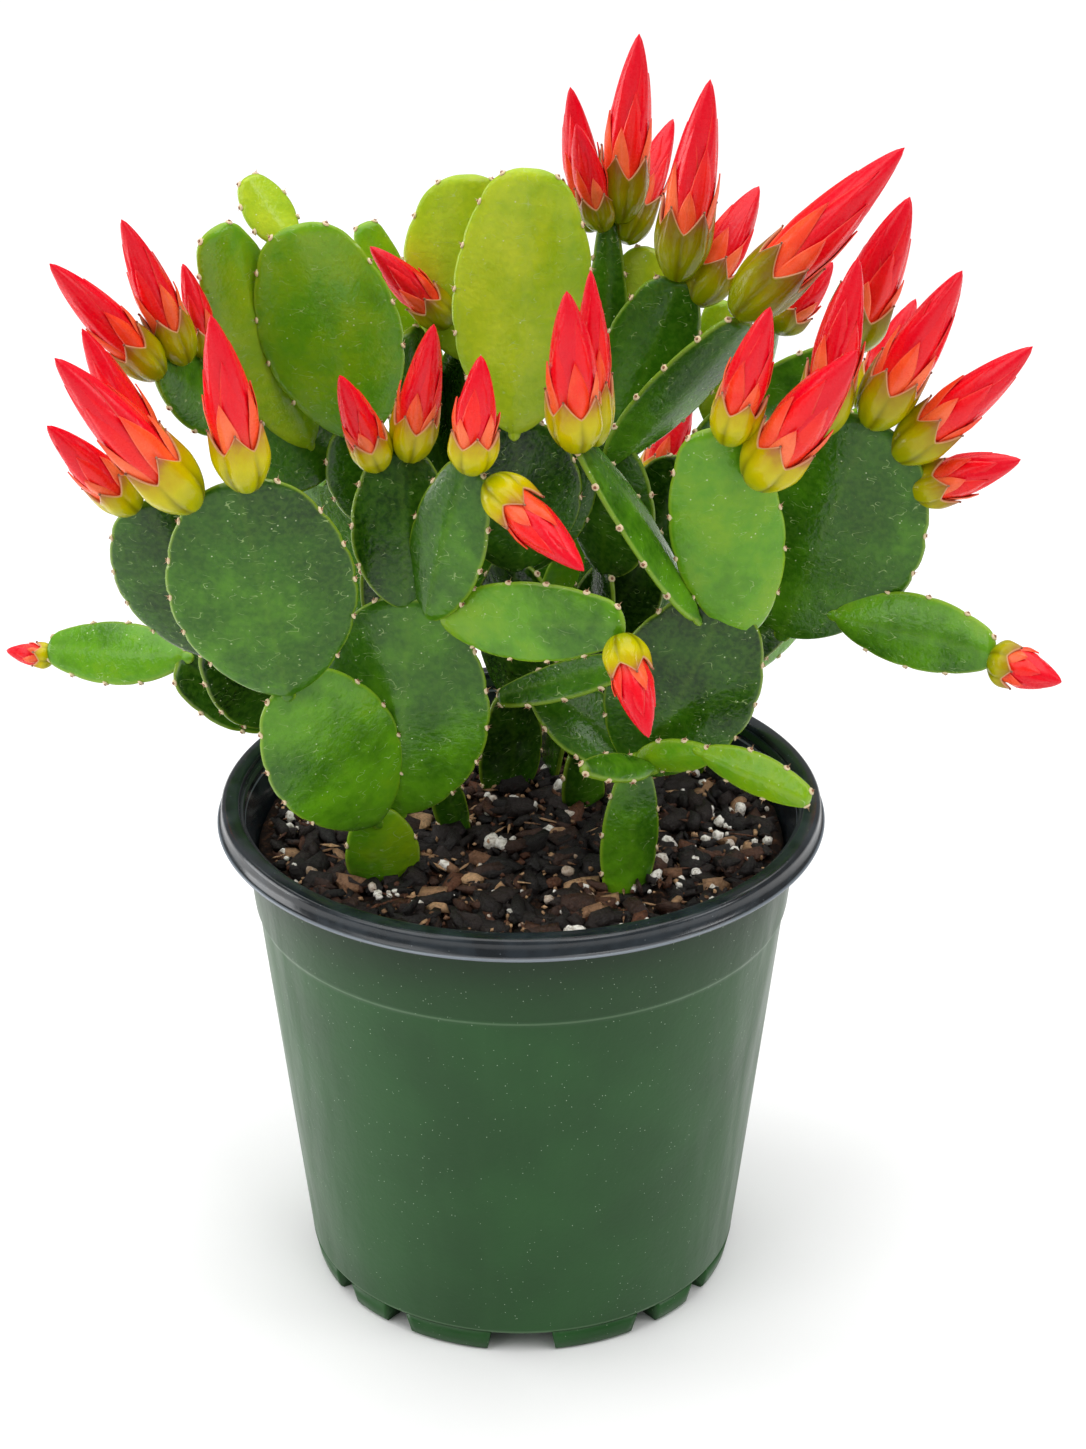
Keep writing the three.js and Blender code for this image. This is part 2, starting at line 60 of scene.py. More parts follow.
STEMS = {
    "front_left": [
        [[-24, -17, 86], [-27, -25, 109], 14, 10, 0.58],
        [[-26, -26, 107], [-40, -40, 142], 25, 10, 0.42],
        [[-40, -41, 140], [-46, -52, 184], 32, 0, 0.25],
        [[-22, -22, 107], [-19, -29, 153], 31, -6, 0.33],
        [[-20, -29, 151], [-21, -24, 179], 18, 12, 0.14],
        [[-16, -29, 149], [-8, -37, 181], 15, -22, 0.24],
        [[-14, -29, 149], [18, -46, 156], 15, 25, 0.46],
    ],
    "left": [
        [[-20, 10, 86], [-30, 2, 113], 12, 50, 0.1],
        [[-29, 3, 110], [-43, -4, 121], 16, 55, 0.1],
        [[-41, -4, 119], [-63, -12, 132], 16, 15, 0.15],
        [[-43, -6, 119], [-55, -24, 143], 17, 10, 0.15],
        [[-53, -25, 140], [-63, -36, 174], 24, -10, 0.16],
        [[-61, -11, 133], [-88, 0, 130], 12, 10, 0.44],
    ],
    "front_middle": [
        [[-11, 1, 86], [-16, -6, 110], 7, 20, 0.2],
        [[-15, -5, 107], [-21, 8, 126], 14, 65, 0.1],
        [[-21, 8, 123], [-26, 4, 154], 20, 50, 0.08],
        [[-25, 4, 152], [-30, -4, 176], 15, 5, 0.12],
        [[-28, -4, 173], [-38, -12, 215], 25, -4, 0.56],
        [[-38, 0, 170], [-52, -14, 215], 17, 22, 0.7],
        [[-39, -8, 210], [-47, -4, 221], 9, 20, 0.9],
        [[-33, 4, 166], [-52, -9, 180], 21, 8, 0.15],
        [[-50, -8, 177], [-61, -26, 195], 12, 20, 0.35],
    ],
    "front_right": [
        [[19, -24, 86], [21, -22, 117], 11, 15, 0.4],
        [[22, -22, 115], [36, -28, 152], 27, 8, 0.14],
        [[21, -21, 117], [3, -14, 129], 14, 25, 0.22],
        [[24, -26, 118], [11, -40, 125], 6, 30, 0.3],
        [[21, -24, 119], [34, -34, 125], 7, 30, 0.55],
        [[32, -33, 125], [51, -44, 121], 8, 25, 0.62],
        [[31, -29, 149], [10, -34, 184], 14, 62, 0.35],
        [[40, -27, 145], [32, -36, 187], 20, 0, 0.53],
        [[22, -25, 139], [-4, -20, 129], 8, 30, 0.2],
    ],
    "right": [
        [[12, 12, 86], [11, 8, 105], 9, 20, 0.3],
        [[11, 8, 102], [22, 2, 118], 15, 45, 0.2],
        [[21, 2, 117], [49, -6, 139], 12, 20, 0.15],
        [[48, -7, 136], [61, -18, 182], 36, -6, 0.26],
        [[57, -12, 142], [84, -28, 142], 14, 20, 0.44],
        [[30, 2, 118], [38, 10, 130], 12, 10, 0.3],
    ],
    "centre": [
        [[-3, 18, 86], [-2, 14, 115], 14, 30, 0.1],
        [[-2, 14, 112], [0, 6, 145], 20, -35, 0.05],
        [[0, 6, 143], [-1, 0, 175], 24, 8, 0.08],
        [[-1, -1, 173], [2, -2, 222], 25, 0, 0.9],
        [[0, 8, 142], [10, 7, 171], 17, 15, 0.1],
    ],
    "centre_left": [
        [[-10, 30, 86], [-14, 28, 118], 14, 70, 0.1],
        [[-14, 28, 115], [-13, 24, 151], 22, 65, 0.1],
        [[-13, 24, 148], [-9, 20, 182], 20, -40, 0.15],
        [[-9, 20, 179], [-10, 22, 214], 24, 4, 0.97],
        [[-14, 23, 150], [-21, 14, 187], 17, 45, 0.15],
        [[-14, 26, 160], [-29, 32, 202], 11, 10, 0.7],
    ],
    "centre_right": [
        [[5, 26, 86], [10, 24, 112], 13, -70, 0.1],
        [[10, 24, 109], [16, 14, 142], 22, -65, 0.1],
        [[16, 13, 139], [17, 4, 170], 19, -30, 0.15],
        [[16, 4, 165], [39, -6, 196], 15, 54, 0.3],
        [[17, 8, 164], [28, 8, 199], 18, 8, 0.28],
        [[16, 8, 157], [16, 21, 206], 8, 0, 0.25],
        [[17, 16, 180], [24, 23, 200], 13, 0, 0.85],
        [[12, 20, 120], [24, 14, 143], 16, 5, 0.05],
        [[23, 14, 141], [31, 12, 163], 17, 0, 0.1],
    ],
    "right_back": [
        [[18, 34, 86], [25, 34, 114], 13, 80, 0.15],
        [[25, 34, 111], [32, 28, 148], 22, 60, 0.2],
        [[32, 28, 146], [42, 22, 171], 20, 45, 0.3],
        [[41, 21, 168], [60, 12, 184], 13, 40, 0.4],
        [[37, 26, 160], [47, 30, 184], 14, 60, 0.4],
        [[38, 25, 162], [37, 29, 188], 11, 5, 0.9],
    ],
    "back_left": [
        [[-22, 30, 86], [-30, 40, 114], 13, 60, 0.35],
        [[-29, 39, 112], [-42, 50, 144], 26, -50, 0.3],
        [[-41, 50, 141], [-46, 56, 172], 24, -65, 0.45],
        [[-31, 38, 108], [-66, 36, 126], 20, -50, 0.4],
    ],
    "back": [
        [[2, 42, 86], [4, 48, 112], 12, 0, 0.3],
        [[4, 47, 110], [-4, 57, 142], 25, 20, 0.25],
        [[-4, 57, 140], [-8, 60, 172], 22, 50, 0.4],
        [[5, 47, 109], [24, 58, 138], 22, 35, 0.45],
    ],
    "back_right": [
        [[30, 24, 86], [37, 30, 112], 11, 0, 0.3],
        [[37, 30, 110], [58, 38, 138], 24, 45, 0.3],
        [[57, 37, 136], [66, 42, 162], 22, 65, 0.4],
        [[39, 31, 110], [60, 46, 125], 18, 50, 0.5],
    ],
}
BUDS = {
    "front_left": {
        "left_4": [[-53, -53, 180], [-72, -66, 210], 11],
        "left_7": [[-44, -53, 183], [-48, -60, 215], 10],
        "middle_1": [[-24, -26, 176], [-30, -32, 195], 7.8],
        "middle_2": [[-19, -24, 177], [-14, -32, 204], 8.8],
        "middle_3": [[-8, -38, 180], [-6, -42, 202], 9],
        "middle_4": [[-5, -37, 178], [11, -50, 167], 9.4],
        "middle_8": [[17, -47, 154], [22, -56, 139], 8.5],
    },
    "left": {
        "left_5": [[-59, -35, 175], [-71, -43, 207], 9],
        "left_6": [[-65, -37, 173], [-77, -48, 192], 8.4],
        "left_8": [[-87, 0, 128], [-96, 1, 129], 5.2],
    },
    "front_middle": {
        "left_1": [[-61, -26, 193], [-76, -40, 217], 8.6],
        "left_2": [[-57, -22, 194], [-65, -32, 222], 8.4],
        "left_3": [[-53, -16, 192], [-57, -18, 210], 6],
    },
    "front_right": {
        "middle_5": [[10, -35, 183], [8, -42, 213], 10.3],
        "middle_6": [[13, -33, 183], [12, -34, 214], 7.3],
        "right_1": [[35, -37, 185], [41, -44, 211], 9.2],
        "right_2": [[40, -35, 177], [55, -48, 205], 11.9],
    },
    "right": {
        "right_3": [[52, -20, 180], [57, -24, 213], 10.2],
        "right_4": [[61, -18, 181], [74, -28, 212], 10.6],
        "right_5": [[66, -18, 175], [87, -26, 198], 10],
        "right_6": [[69, -16, 168], [87, -22, 176], 9.4],
        "right_7": [[83, -28, 141], [95, -34, 139], 8.8],
    },
    "centre_left": {
        "middle_7": [[-13, 18, 187], [-27, 14, 203], 8],
    },
    "centre_right": {
        "top_1": [[13, 24, 203], [9, 22, 230], 8.4],
        "top_2": [[15, 18, 205], [10, 12, 226], 7.4],
        "top_3": [[18, 20, 206], [21, 16, 241], 10],
        "top_4": [[19, 20, 202], [28, 34, 221], 8.1],
        "top_5": [[28, 8, 199], [33, 4, 236], 10.8],
        "top_6": [[31, 9, 194], [43, 18, 213], 10.1],
        "top_7": [[38, -6, 197], [65, -14, 229], 11.8],
    },
    "right_back": {
        "right_8": [[59, 12, 184], [69, 8, 214], 12],
        "right_9": [[47, 30, 182], [58, 30, 195], 9.3],
    },
    "back_left": {
        "back_1": [[-46, 56, 171], [-56, 63, 190], 9],
        "back_2": [[-66, 36, 126], [-80, 40, 134], 9],
    },
    "back": {
        "back_3": [[-8, 60, 171], [-10, 65, 194], 9],
        "back_4": [[25, 58, 137], [34, 64, 156], 9],
    },
    "back_right": {
        "back_5": [[66, 42, 161], [76, 48, 182], 9],
        "back_6": [[60, 46, 123], [72, 55, 138], 9],
    },
}
print("layout:", sum(map(len, STEMS.values())), "pads,", sum(map(len, BUDS.values())), "buds")

# %% [markdown]
# ## Camera, floor and light
# A studio table: a camera a little above the plant, a pale floor, a bright even room, one large soft lamp
# overhead and four smaller ones round the front and sides. The lens is long, as for a product picture, so
# the pot's sides lean in only a little.

# %% Camera
scene = bpy.context.scene
AIM = Vector((4.15, 0, 114.1)) * MM
EYE_DISTANCE = 587 * MM
EYE_RISE = math.radians(26.06)
lens = bpy.data.cameras.new("camera")
lens.sensor_width = 36
lens.lens = 77.4
camera = bpy.data.objects.new("camera", lens)
scene.collection.objects.link(camera)
sight = Vector((0, math.cos(EYE_RISE), -math.sin(EYE_RISE)))
camera.location = AIM - EYE_DISTANCE * sight
camera.rotation_euler = sight.to_track_quat("-Z", "Y").to_euler()
scene.camera = camera
scene.view_settings.view_transform = "Standard"
print("camera:", round(lens.lens, 1), "mm lens, in mm at", [round(v / MM) for v in camera.location])

# %% Room and lamps
room = bpy.data.worlds.new("room")
scene.world = room
room.use_nodes = True
room.node_tree.nodes["Background"].inputs["Color"].default_value = (1, 1, 1, 1)
room.node_tree.nodes["Background"].inputs["Strength"].default_value = 0.33


def soft_lamp(name, place, target, size, power):
    """A square lamp of size metres at place, turned to face target."""
    lamp = bpy.data.lights.new(name, "AREA")
    lamp.size = size
    lamp.energy = power
    holder = bpy.data.objects.new(name, lamp)
    scene.collection.objects.link(holder)
    holder.location = place
    holder.rotation_euler = (Vector(target) - Vector(place)).to_track_quat("-Z", "Y").to_euler()


LAMPS = {  # place, target and size in metres, and power in watts
    "lamp_above": [(0, 0.4, 2.0), (0, 0.4, 0), 3.0, 64],
    "lamp_key": [(-0.85, -0.75, 0.85), (0, 0, 0.12), 0.8, 4.6],
    "lamp_left": [(-0.9, 0.15, 0.25), (0, 0, 0.1), 0.5, 3.5],
    "lamp_right": [(0.9, -0.3, 0.5), (0, 0, 0.12), 0.35, 1.8],
    "lamp_front": [(0.5, -0.8, 1.1), (0, 0, 0.15), 0.45, 2.4],
}
for name, settings in LAMPS.items():
    soft_lamp(name, *settings)
print("lamps:", len(LAMPS))

# %% [markdown]
# ## Surfaces from arrays
# Every fine piece is a closed skin: rings of points from one pole to the other. A Skin keeps its points,
# its faces and the marks that its finish reads, such as how far a point is from a leaf's margin. Skins of
# one piece are joined before they go into a mesh, so that a stem with a dozen pads is still one object.


# %% Skins
@dataclass
class Skin:
    points: np.ndarray
    quads: np.ndarray
    tris: np.ndarray
    marks: dict


def closed_skin(rings, start, end, marks):
    """Rings (rows, columns, 3) closed by the poles start and end; marks are (rows, columns) arrays."""
    rows, columns = rings.shape[:2]
    ring = np.arange(columns)
    after = np.roll(ring, -1)
    lower = 1 + columns * np.arange(rows - 1)[:, None]
    quads = np.stack([lower + ring, lower + after, lower + columns + after, lower + columns + ring], -1)
    last = 1 + columns * (rows - 1)
    tip = 1 + columns * rows
    tris = np.concatenate(
        [
            np.stack([np.zeros(columns, int), 1 + after, 1 + ring], -1),
            np.stack([np.full(columns, tip), last + ring, last + after], -1),
        ]
    )
    with_poles = {
        name: np.concatenate([[mark[0].mean()], mark.ravel(), [mark[-1].mean()]])
        for name, mark in marks.items()
    }
    points = np.concatenate([[start], rings.reshape(-1, 3), [end]])
    return outward(Skin(points, quads.reshape(-1, 4), tris, with_poles))


def outward(skin):
    """Turns every face round if the skin's signed volume, a sum of corner triple products, is negative."""
    p = skin.points - skin.points.mean(0)
    tris = np.concatenate([skin.tris, skin.quads[:, :3], skin.quads[:, [0, 2, 3]]])
    volume = np.einsum("ij,ij->i", p[tris[:, 0]], np.cross(p[tris[:, 1]], p[tris[:, 2]])).sum()
    if volume < 0:
        skin.quads = skin.quads[:, ::-1]
        skin.tris = skin.tris[:, ::-1]
    return skin


def joined(skins):
    """One skin of several, each keeping its own closed surface."""
    starts = np.cumsum([0] + [len(s.points) for s in skins[:-1]])
    return Skin(
        np.concatenate([s.points for s in skins]),
        np.concatenate([s.quads + n for s, n in zip(skins, starts)]),
        np.concatenate([s.tris + n for s, n in zip(skins, starts)]),
        {name: np.concatenate([s.marks[name] for s in skins]) for name in skins[0].marks},
    )


def put_in_scene(name, skin, materials, stands_for=(), face_material=None, smooth=True):
    """Makes a mesh object of a skin in millimetres. It rides on the plant, and it takes the place of the
    frame's solids that stands_for names."""
    mesh = bpy.data.meshes.new(name)
    sizes = np.concatenate([np.full(len(skin.quads), 4), np.full(len(skin.tris), 3)])
    corners = np.concatenate([skin.quads.ravel(), skin.tris.ravel()])
    mesh.vertices.add(len(skin.points))
    mesh.vertices.foreach_set("co", (skin.points * MM).astype(np.float32).ravel())
    mesh.loops.add(len(corners))
    mesh.loops.foreach_set("vertex_index", corners.astype(np.int32))
    mesh.polygons.add(len(sizes))
    mesh.polygons.foreach_set("loop_start", (np.cumsum(sizes) - sizes).astype(np.int32))
    if face_material is not None:
        mesh.polygons.foreach_set("material_index", face_material.astype(np.int32))
    for mark, values in skin.marks.items():
        mesh.attributes.new(mark, "FLOAT", "POINT").data.foreach_set("value", values.astype(np.float32))
    for material in materials:
        mesh.materials.append(material)
    mesh.update(calc_edges=True)
    mesh.validate()
    if smooth:
        mesh.shade_smooth()
    piece = bpy.data.objects.new(name, mesh)
    scene.collection.objects.link(piece)
    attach(piece, "root")
    if stands_for:
        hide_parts(*stands_for)


def own_axes(start, end, turn=0.0):
    """A growing thing's start and length, and its own directions along, across and out: out is FACE made
    square to along, then turned about it by turn degrees."""
    start, end = np.array(start, float), np.array(end, float)
    length = np.linalg.norm(end - start)
    along = (end - start) / length
    out = FACE - FACE @ along * along
    out /= np.linalg.norm(out)
    side = np.cross(along, out)
    angle = math.radians(turn)
    out = out * math.cos(angle) + side * math.sin(angle)
    return start, length, along, np.cross(along, out), out


# %% [markdown]
# ## Finishes made of nodes
# Each finish is a small network: marks and noise choose the colour, and a fine bump breaks up the gloss. A
# helper writes the network in one line a node, so that a finish reads as a recipe.


# %% Node helpers
class Nodes:
    """The nodes of one tree. Each step adds a node and gives back its output."""

    def __init__(self, tree, place):
        self.tree, self.place = tree, place

    def node(self, kind, **settings):
        made = self.tree.nodes.new(kind)
        for name, value in settings.items():
            setattr(made, name, value)
        return made

    def link(self, value, socket):
        """Joins an output to a socket, or sets the socket to a plain value or colour."""
        if isinstance(value, bpy.types.NodeSocket):
            self.tree.links.new(value, socket)
        elif isinstance(value, tuple):
            socket.default_value = (*value, 1.0)
        else:
            socket.default_value = value

    def math(self, operation, a, b=0.0):
        made = self.node("ShaderNodeMath", operation=operation)
        self.link(a, made.inputs[0])
        self.link(b, made.inputs[1])
        return made.outputs[0]

    def texture(self, kind, size_mm, place):
        """A texture whose repeats are a size in millimetres, which may be a number or an output."""
        made = self.node(kind)
        if isinstance(size_mm, bpy.types.NodeSocket):
            scale = self.math("DIVIDE", 1 / MM, size_mm)
        else:
            scale = 1 / (size_mm * MM)
        self.link(scale, made.inputs["Scale"])
        self.link(place, made.inputs["Vector"])
        return made

    def noise(self, size_mm, detail=3.0, rough=0.5, stretch=(1, 1, 1)):
        made = self.texture("ShaderNodeTexNoise", size_mm, self.stretched(stretch))
        made.inputs["Detail"].default_value = detail
        made.inputs["Roughness"].default_value = rough
        return made.outputs["Fac"]

    def stretched(self, stretch):
        if stretch == (1, 1, 1):
            return self.place
        made = self.node("ShaderNodeMapping")
        made.inputs["Scale"].default_value = stretch
        self.link(self.place, made.inputs["Vector"])
        return made.outputs["Vector"]

    def fade(self, value, low, high, to_low=0.0, to_high=1.0):
        """A smooth change from to_low to to_high while value goes from low to high."""
        made = self.node("ShaderNodeMapRange", interpolation_type="SMOOTHSTEP")
        if low > high:
            low, high, to_low, to_high = high, low, to_high, to_low
        self.link(value, made.inputs["Value"])
        for socket, number in zip(("From Min", "From Max", "To Min", "To Max"), (low, high, to_low, to_high)):
            made.inputs[socket].default_value = number
        return made.outputs["Result"]

    def mix(self, share, a, b):
        made = self.node("ShaderNodeMix", data_type="RGBA")
        self.link(share, made.inputs[0])
        self.link(a, made.inputs[6])
        self.link(b, made.inputs[7])
        return made.outputs[2]

    def over(self, colour, added, value, low, high, most=1.0):
        """Lays a second colour over one: none of it where value is low, the share most where it is high."""
        return self.mix(self.fade(value, low, high, 0.0, most), colour, added)

    def ramp(self, value, *stops):
        """Colours along a value: stops are (position, colour)."""
        made = self.node("ShaderNodeValToRGB")
        band = made.color_ramp.elements
        while len(band) < len(stops):
            band.new(0.5)
        for element, (position, colour) in zip(band, stops):
            element.position = position
            element.color = (*colour, 1)
        self.link(value, made.inputs[0])
        return made.outputs[0]


class Recipe(Nodes):
    """A material, whose nodes end in its shader."""

    def __init__(self, name):
        self.material = bpy.data.materials.new(name)
        self.material.use_nodes = True
        tree = self.material.node_tree
        self.shader = tree.nodes["Principled BSDF"]
        super().__init__(tree, tree.nodes.new("ShaderNodeTexCoord").outputs["Object"])

    def mark(self, name):
        return self.node("ShaderNodeAttribute", attribute_name=name).outputs["Fac"]

    def height(self):
        """How high a point is, in metres."""
        made = self.node("ShaderNodeSeparateXYZ")
        self.link(self.place, made.inputs[0])
        return made.outputs["Z"]

    def near(self, value, middle, thin):
        """1 where value is at middle, fading to 0 at thin to either side."""
        away = self.math("ABSOLUTE", self.math("SUBTRACT", value, middle))
        return self.fade(away, thin, 0.3 * thin)

    def effect(self, shared, **settings):
        """A shared effect's output, with its named inputs set."""
        made = self.node("ShaderNodeGroup", node_tree=shared)
        self.link(self.place, made.inputs["Place"])
        for name, value in settings.items():
            self.link(value, made.inputs[name])
        return made.outputs[0]

    def bump(self, height, depth_mm):
        made = self.node("ShaderNodeBump")
        made.inputs["Distance"].default_value = depth_mm * MM
        self.link(height, made.inputs["Height"])
        self.link(made.outputs[0], self.shader.inputs["Normal"])

    def finish(self, colour, roughness, specular=0.5):
        self.link(colour, self.shader.inputs["Base Color"])
        self.link(roughness, self.shader.inputs["Roughness"])
        self.shader.inputs["Specular IOR Level"].default_value = specular
        return self.material


def hue(red, green, blue):
    """A colour as painters give it, 0 to 255, in the linear values that shaders use."""
    share = np.array([red, green, blue]) / 255
    return tuple(np.where(share < 0.04045, share / 12.92, ((share + 0.055) / 1.055) ** 2.4).tolist())


# %% [markdown]
# ## Effects that finishes share
# Dust lies on the plant and on the pot alike, and every living surface is mottled. Each effect is one group
# of nodes that puts out a single value, and a finish chooses how coarse and how strong it is.


# %% Shared effects
def shared_effect(name, inputs):
    """An empty group with a Place input, the named number inputs and one output. Gives the group, a writer
    for its nodes, its inputs and the socket for its result."""
    tree = bpy.data.node_groups.new(name, "ShaderNodeTree")
    tree.interface.new_socket("Place", in_out="INPUT", socket_type="NodeSocketVector")
    for label in inputs:
        tree.interface.new_socket(label, in_out="INPUT", socket_type="NodeSocketFloat")
    tree.interface.new_socket("Value", in_out="OUTPUT", socket_type="NodeSocketFloat")
    given = tree.nodes.new("NodeGroupInput").outputs
    return tree, Nodes(tree, given["Place"]), given, tree.nodes.new("NodeGroupOutput").inputs["Value"]


def mottle_effect():
    """Mottling: a noise as coarse as Patch, in millimetres, drawn out to run from -Amount to Amount."""
    tree, nodes, given, result = shared_effect("mottle", ["Patch", "Amount"])
    cloud = nodes.fade(nodes.noise(given["Patch"], 4, 0.55), 0.3, 0.7, -1.0, 1.0)
    nodes.link(nodes.math("MULTIPLY", cloud, given["Amount"]), result)
    return tree


def dust_effect():
    """Dust: a spot in the middle of each Voronoi cell. Pitch is the cells' size in millimetres and Speck is
    the spots' radius in cells. Spots are kept only in patches where a slower noise is high."""
    tree, nodes, given, result = shared_effect("dust", ["Pitch", "Speck", "Strength"])
    away = nodes.texture("ShaderNodeTexVoronoi", given["Pitch"], nodes.place).outputs["Distance"]
    spots = nodes.fade(nodes.math("DIVIDE", away, given["Speck"]), 1.0, 0.5)
    patches = nodes.fade(nodes.noise(nodes.math("MULTIPLY", given["Pitch"], 2.5), 2), 0.5, 0.6)
    nodes.link(nodes.math("MULTIPLY", nodes.math("MULTIPLY", spots, patches), given["Strength"]), result)
    return tree


MOTTLE, DUST = mottle_effect(), dust_effect()
print("shared effects:", MOTTLE.name, DUST.name)

# %% [markdown]
# ## The waxy skin of the pads
# A pad is deep green when old and lime when young. Its margin is a paler, yellower band under a millimetre
# wide, partly its own paler colour and partly a painted highlight on the rounded edge, and its middle rib
# shows faintly. Soft blotches, dust specks and pale scars keep it from looking like plastic.

# %% Pad finish
skin_finish = Recipe("waxy_green_skin")
blotches = skin_finish.noise(9, 4, 0.55)
grain = skin_finish.noise(0.9, 2)
broad = skin_finish.effect(MOTTLE, Patch=14, Amount=0.1)
fine = skin_finish.effect(MOTTLE, Patch=2.4, Amount=0.035)
# The tone mark holds each pad's age, with light and shade painted across it in pad_skin.
green = skin_finish.ramp(
    skin_finish.math("ADD", skin_finish.mark("tone"), skin_finish.math("ADD", broad, fine)),
    (0.0, hue(14, 44, 2)),
    (0.3, hue(50, 98, 10)),
    (0.5, hue(90, 148, 18)),
    (0.75, hue(136, 172, 10)),
    (1.0, hue(182, 202, 40)),
)
grained = skin_finish.over(green, hue(108, 154, 44), grain, 0.35, 0.65, 0.13)
# Painted highlight: the pale margin band is partly the margin's own colour and partly a highlight on its
# edge.
margin_and_highlight = skin_finish.over(grained, hue(146, 176, 44), skin_finish.mark("margin"), 0.7, 0.1, 0.5)
ribbed = skin_finish.over(margin_and_highlight, hue(126, 166, 44), skin_finish.mark("rib"), 0.9, 0.1, 0.07)
specks = skin_finish.effect(DUST, Pitch=1.4, Speck=0.12, Strength=0.85)
dusty = skin_finish.mix(specks, ribbed, hue(206, 220, 176))
scar_lines = skin_finish.near(skin_finish.noise(3.2, 1, 0.4, (1.0, 1.0, 2.0)), 0.5, 0.01)
scar_patches = skin_finish.fade(skin_finish.noise(2.2, 1), 0.56, 0.62, 0.0, 0.5)
scarred = skin_finish.mix(skin_finish.math("MULTIPLY", scar_lines, scar_patches), dusty, hue(176, 200, 132))
skin_finish.bump(skin_finish.math("ADD", grain, skin_finish.math("MULTIPLY", blotches, 2.5)), 0.12)
green_skin = skin_finish.finish(scarred, skin_finish.fade(blotches, 0.3, 0.7, 0.15, 0.3), 0.3)
print("finish:", green_skin.name)

# %% [markdown]
# ## Pads
# A pad is a lens: wide, about 3 mm thick at its middle rib and half that at its margin. Going along it, its
# width follows one smooth outline with a shallow notch between lobes, and rounded corners at its far end;
# going round it, it closes through both margins. The grid is finer near both ends, where the outline turns
# fastest.

# %% Pad outline and surface
# In millimetres, but for the shares.
PAD = {
    "edge": 1.5,  # thickness at the margin
    "middle": 3.0,  # thickness at the rib
    "stalk": 2.4,  # width where it grows from the pad below
    "sunk": 1.6,  # how far it goes into that pad
    "rib": 0.25,  # how high the rib stands
    "tooth": 8.0,  # from one notch to the next
    "notch": 0.03,  # depth, as a share of the half width
    "corner": 0.17,  # radius at the far end, as a share of the width
}
PAD_ROWS, PAD_COLUMNS = 50, 28
NOTCH_SHIFT = 0.18  # of a lobe; notches on the two sides alternate


def teeth(length):
    """How many lobes a margin has: its length over a tooth's, and at least three."""
    return max(3, round(length / PAD["tooth"]))


def quarter_round(short_of_end, radius):
    """1 until a radius short of the end, then down a quarter circle to 0 at the end."""
    return np.sqrt(1 - np.clip(1 - short_of_end / radius, 0, 1) ** 2)


def half_width(share, length, width, side):
    """Half a pad's width in millimetres: a stretched half sine wave, less a narrow dip at each notch, and
    less the corner's quarter circle near the far end. side is -1 or 1."""
    lobes = teeth(length)
    body = np.sin(np.pi * (0.004 + 0.91 * share) ** 0.9) ** 0.62
    between = share * lobes + NOTCH_SHIFT * side
    between = between - np.round(between)
    notched = (share > 0.5 / lobes) & (share < 1 - 0.4 / lobes)
    dip = np.where(notched, PAD["notch"] * np.exp(-((between / 0.14) ** 2)), 0)
    corner = PAD["corner"] * width
    return body * (1 - dip) * width / 2 - corner * (1 - quarter_round((1 - share) * length, corner))


def own_draw(line):
    """A pad's own random draw, seeded by the place where it starts, so that no two pads bend alike."""
    return np.random.default_rng([round(v) + 200 for v in line[0]])


def bent(line, share, x):
    """How far a pad's middle sheet leaves its plane: a bow along it, a dish across it and a fold at its rib,
    which is a distance from the rib with its corner rounded off."""
    draw = own_draw(line)
    bow, dish, fold = draw.uniform(-0.9, 1.1), draw.uniform(-0.5, 0.8), draw.uniform(0, 0.09)
    fold_highlit = fold * (1 - np.sqrt(x**2 + 1)) * (1 - 0.6 * share)
    return bow * np.sin(np.pi * share) + dish * (x / line[2] * 2) ** 2 + fold_highlit


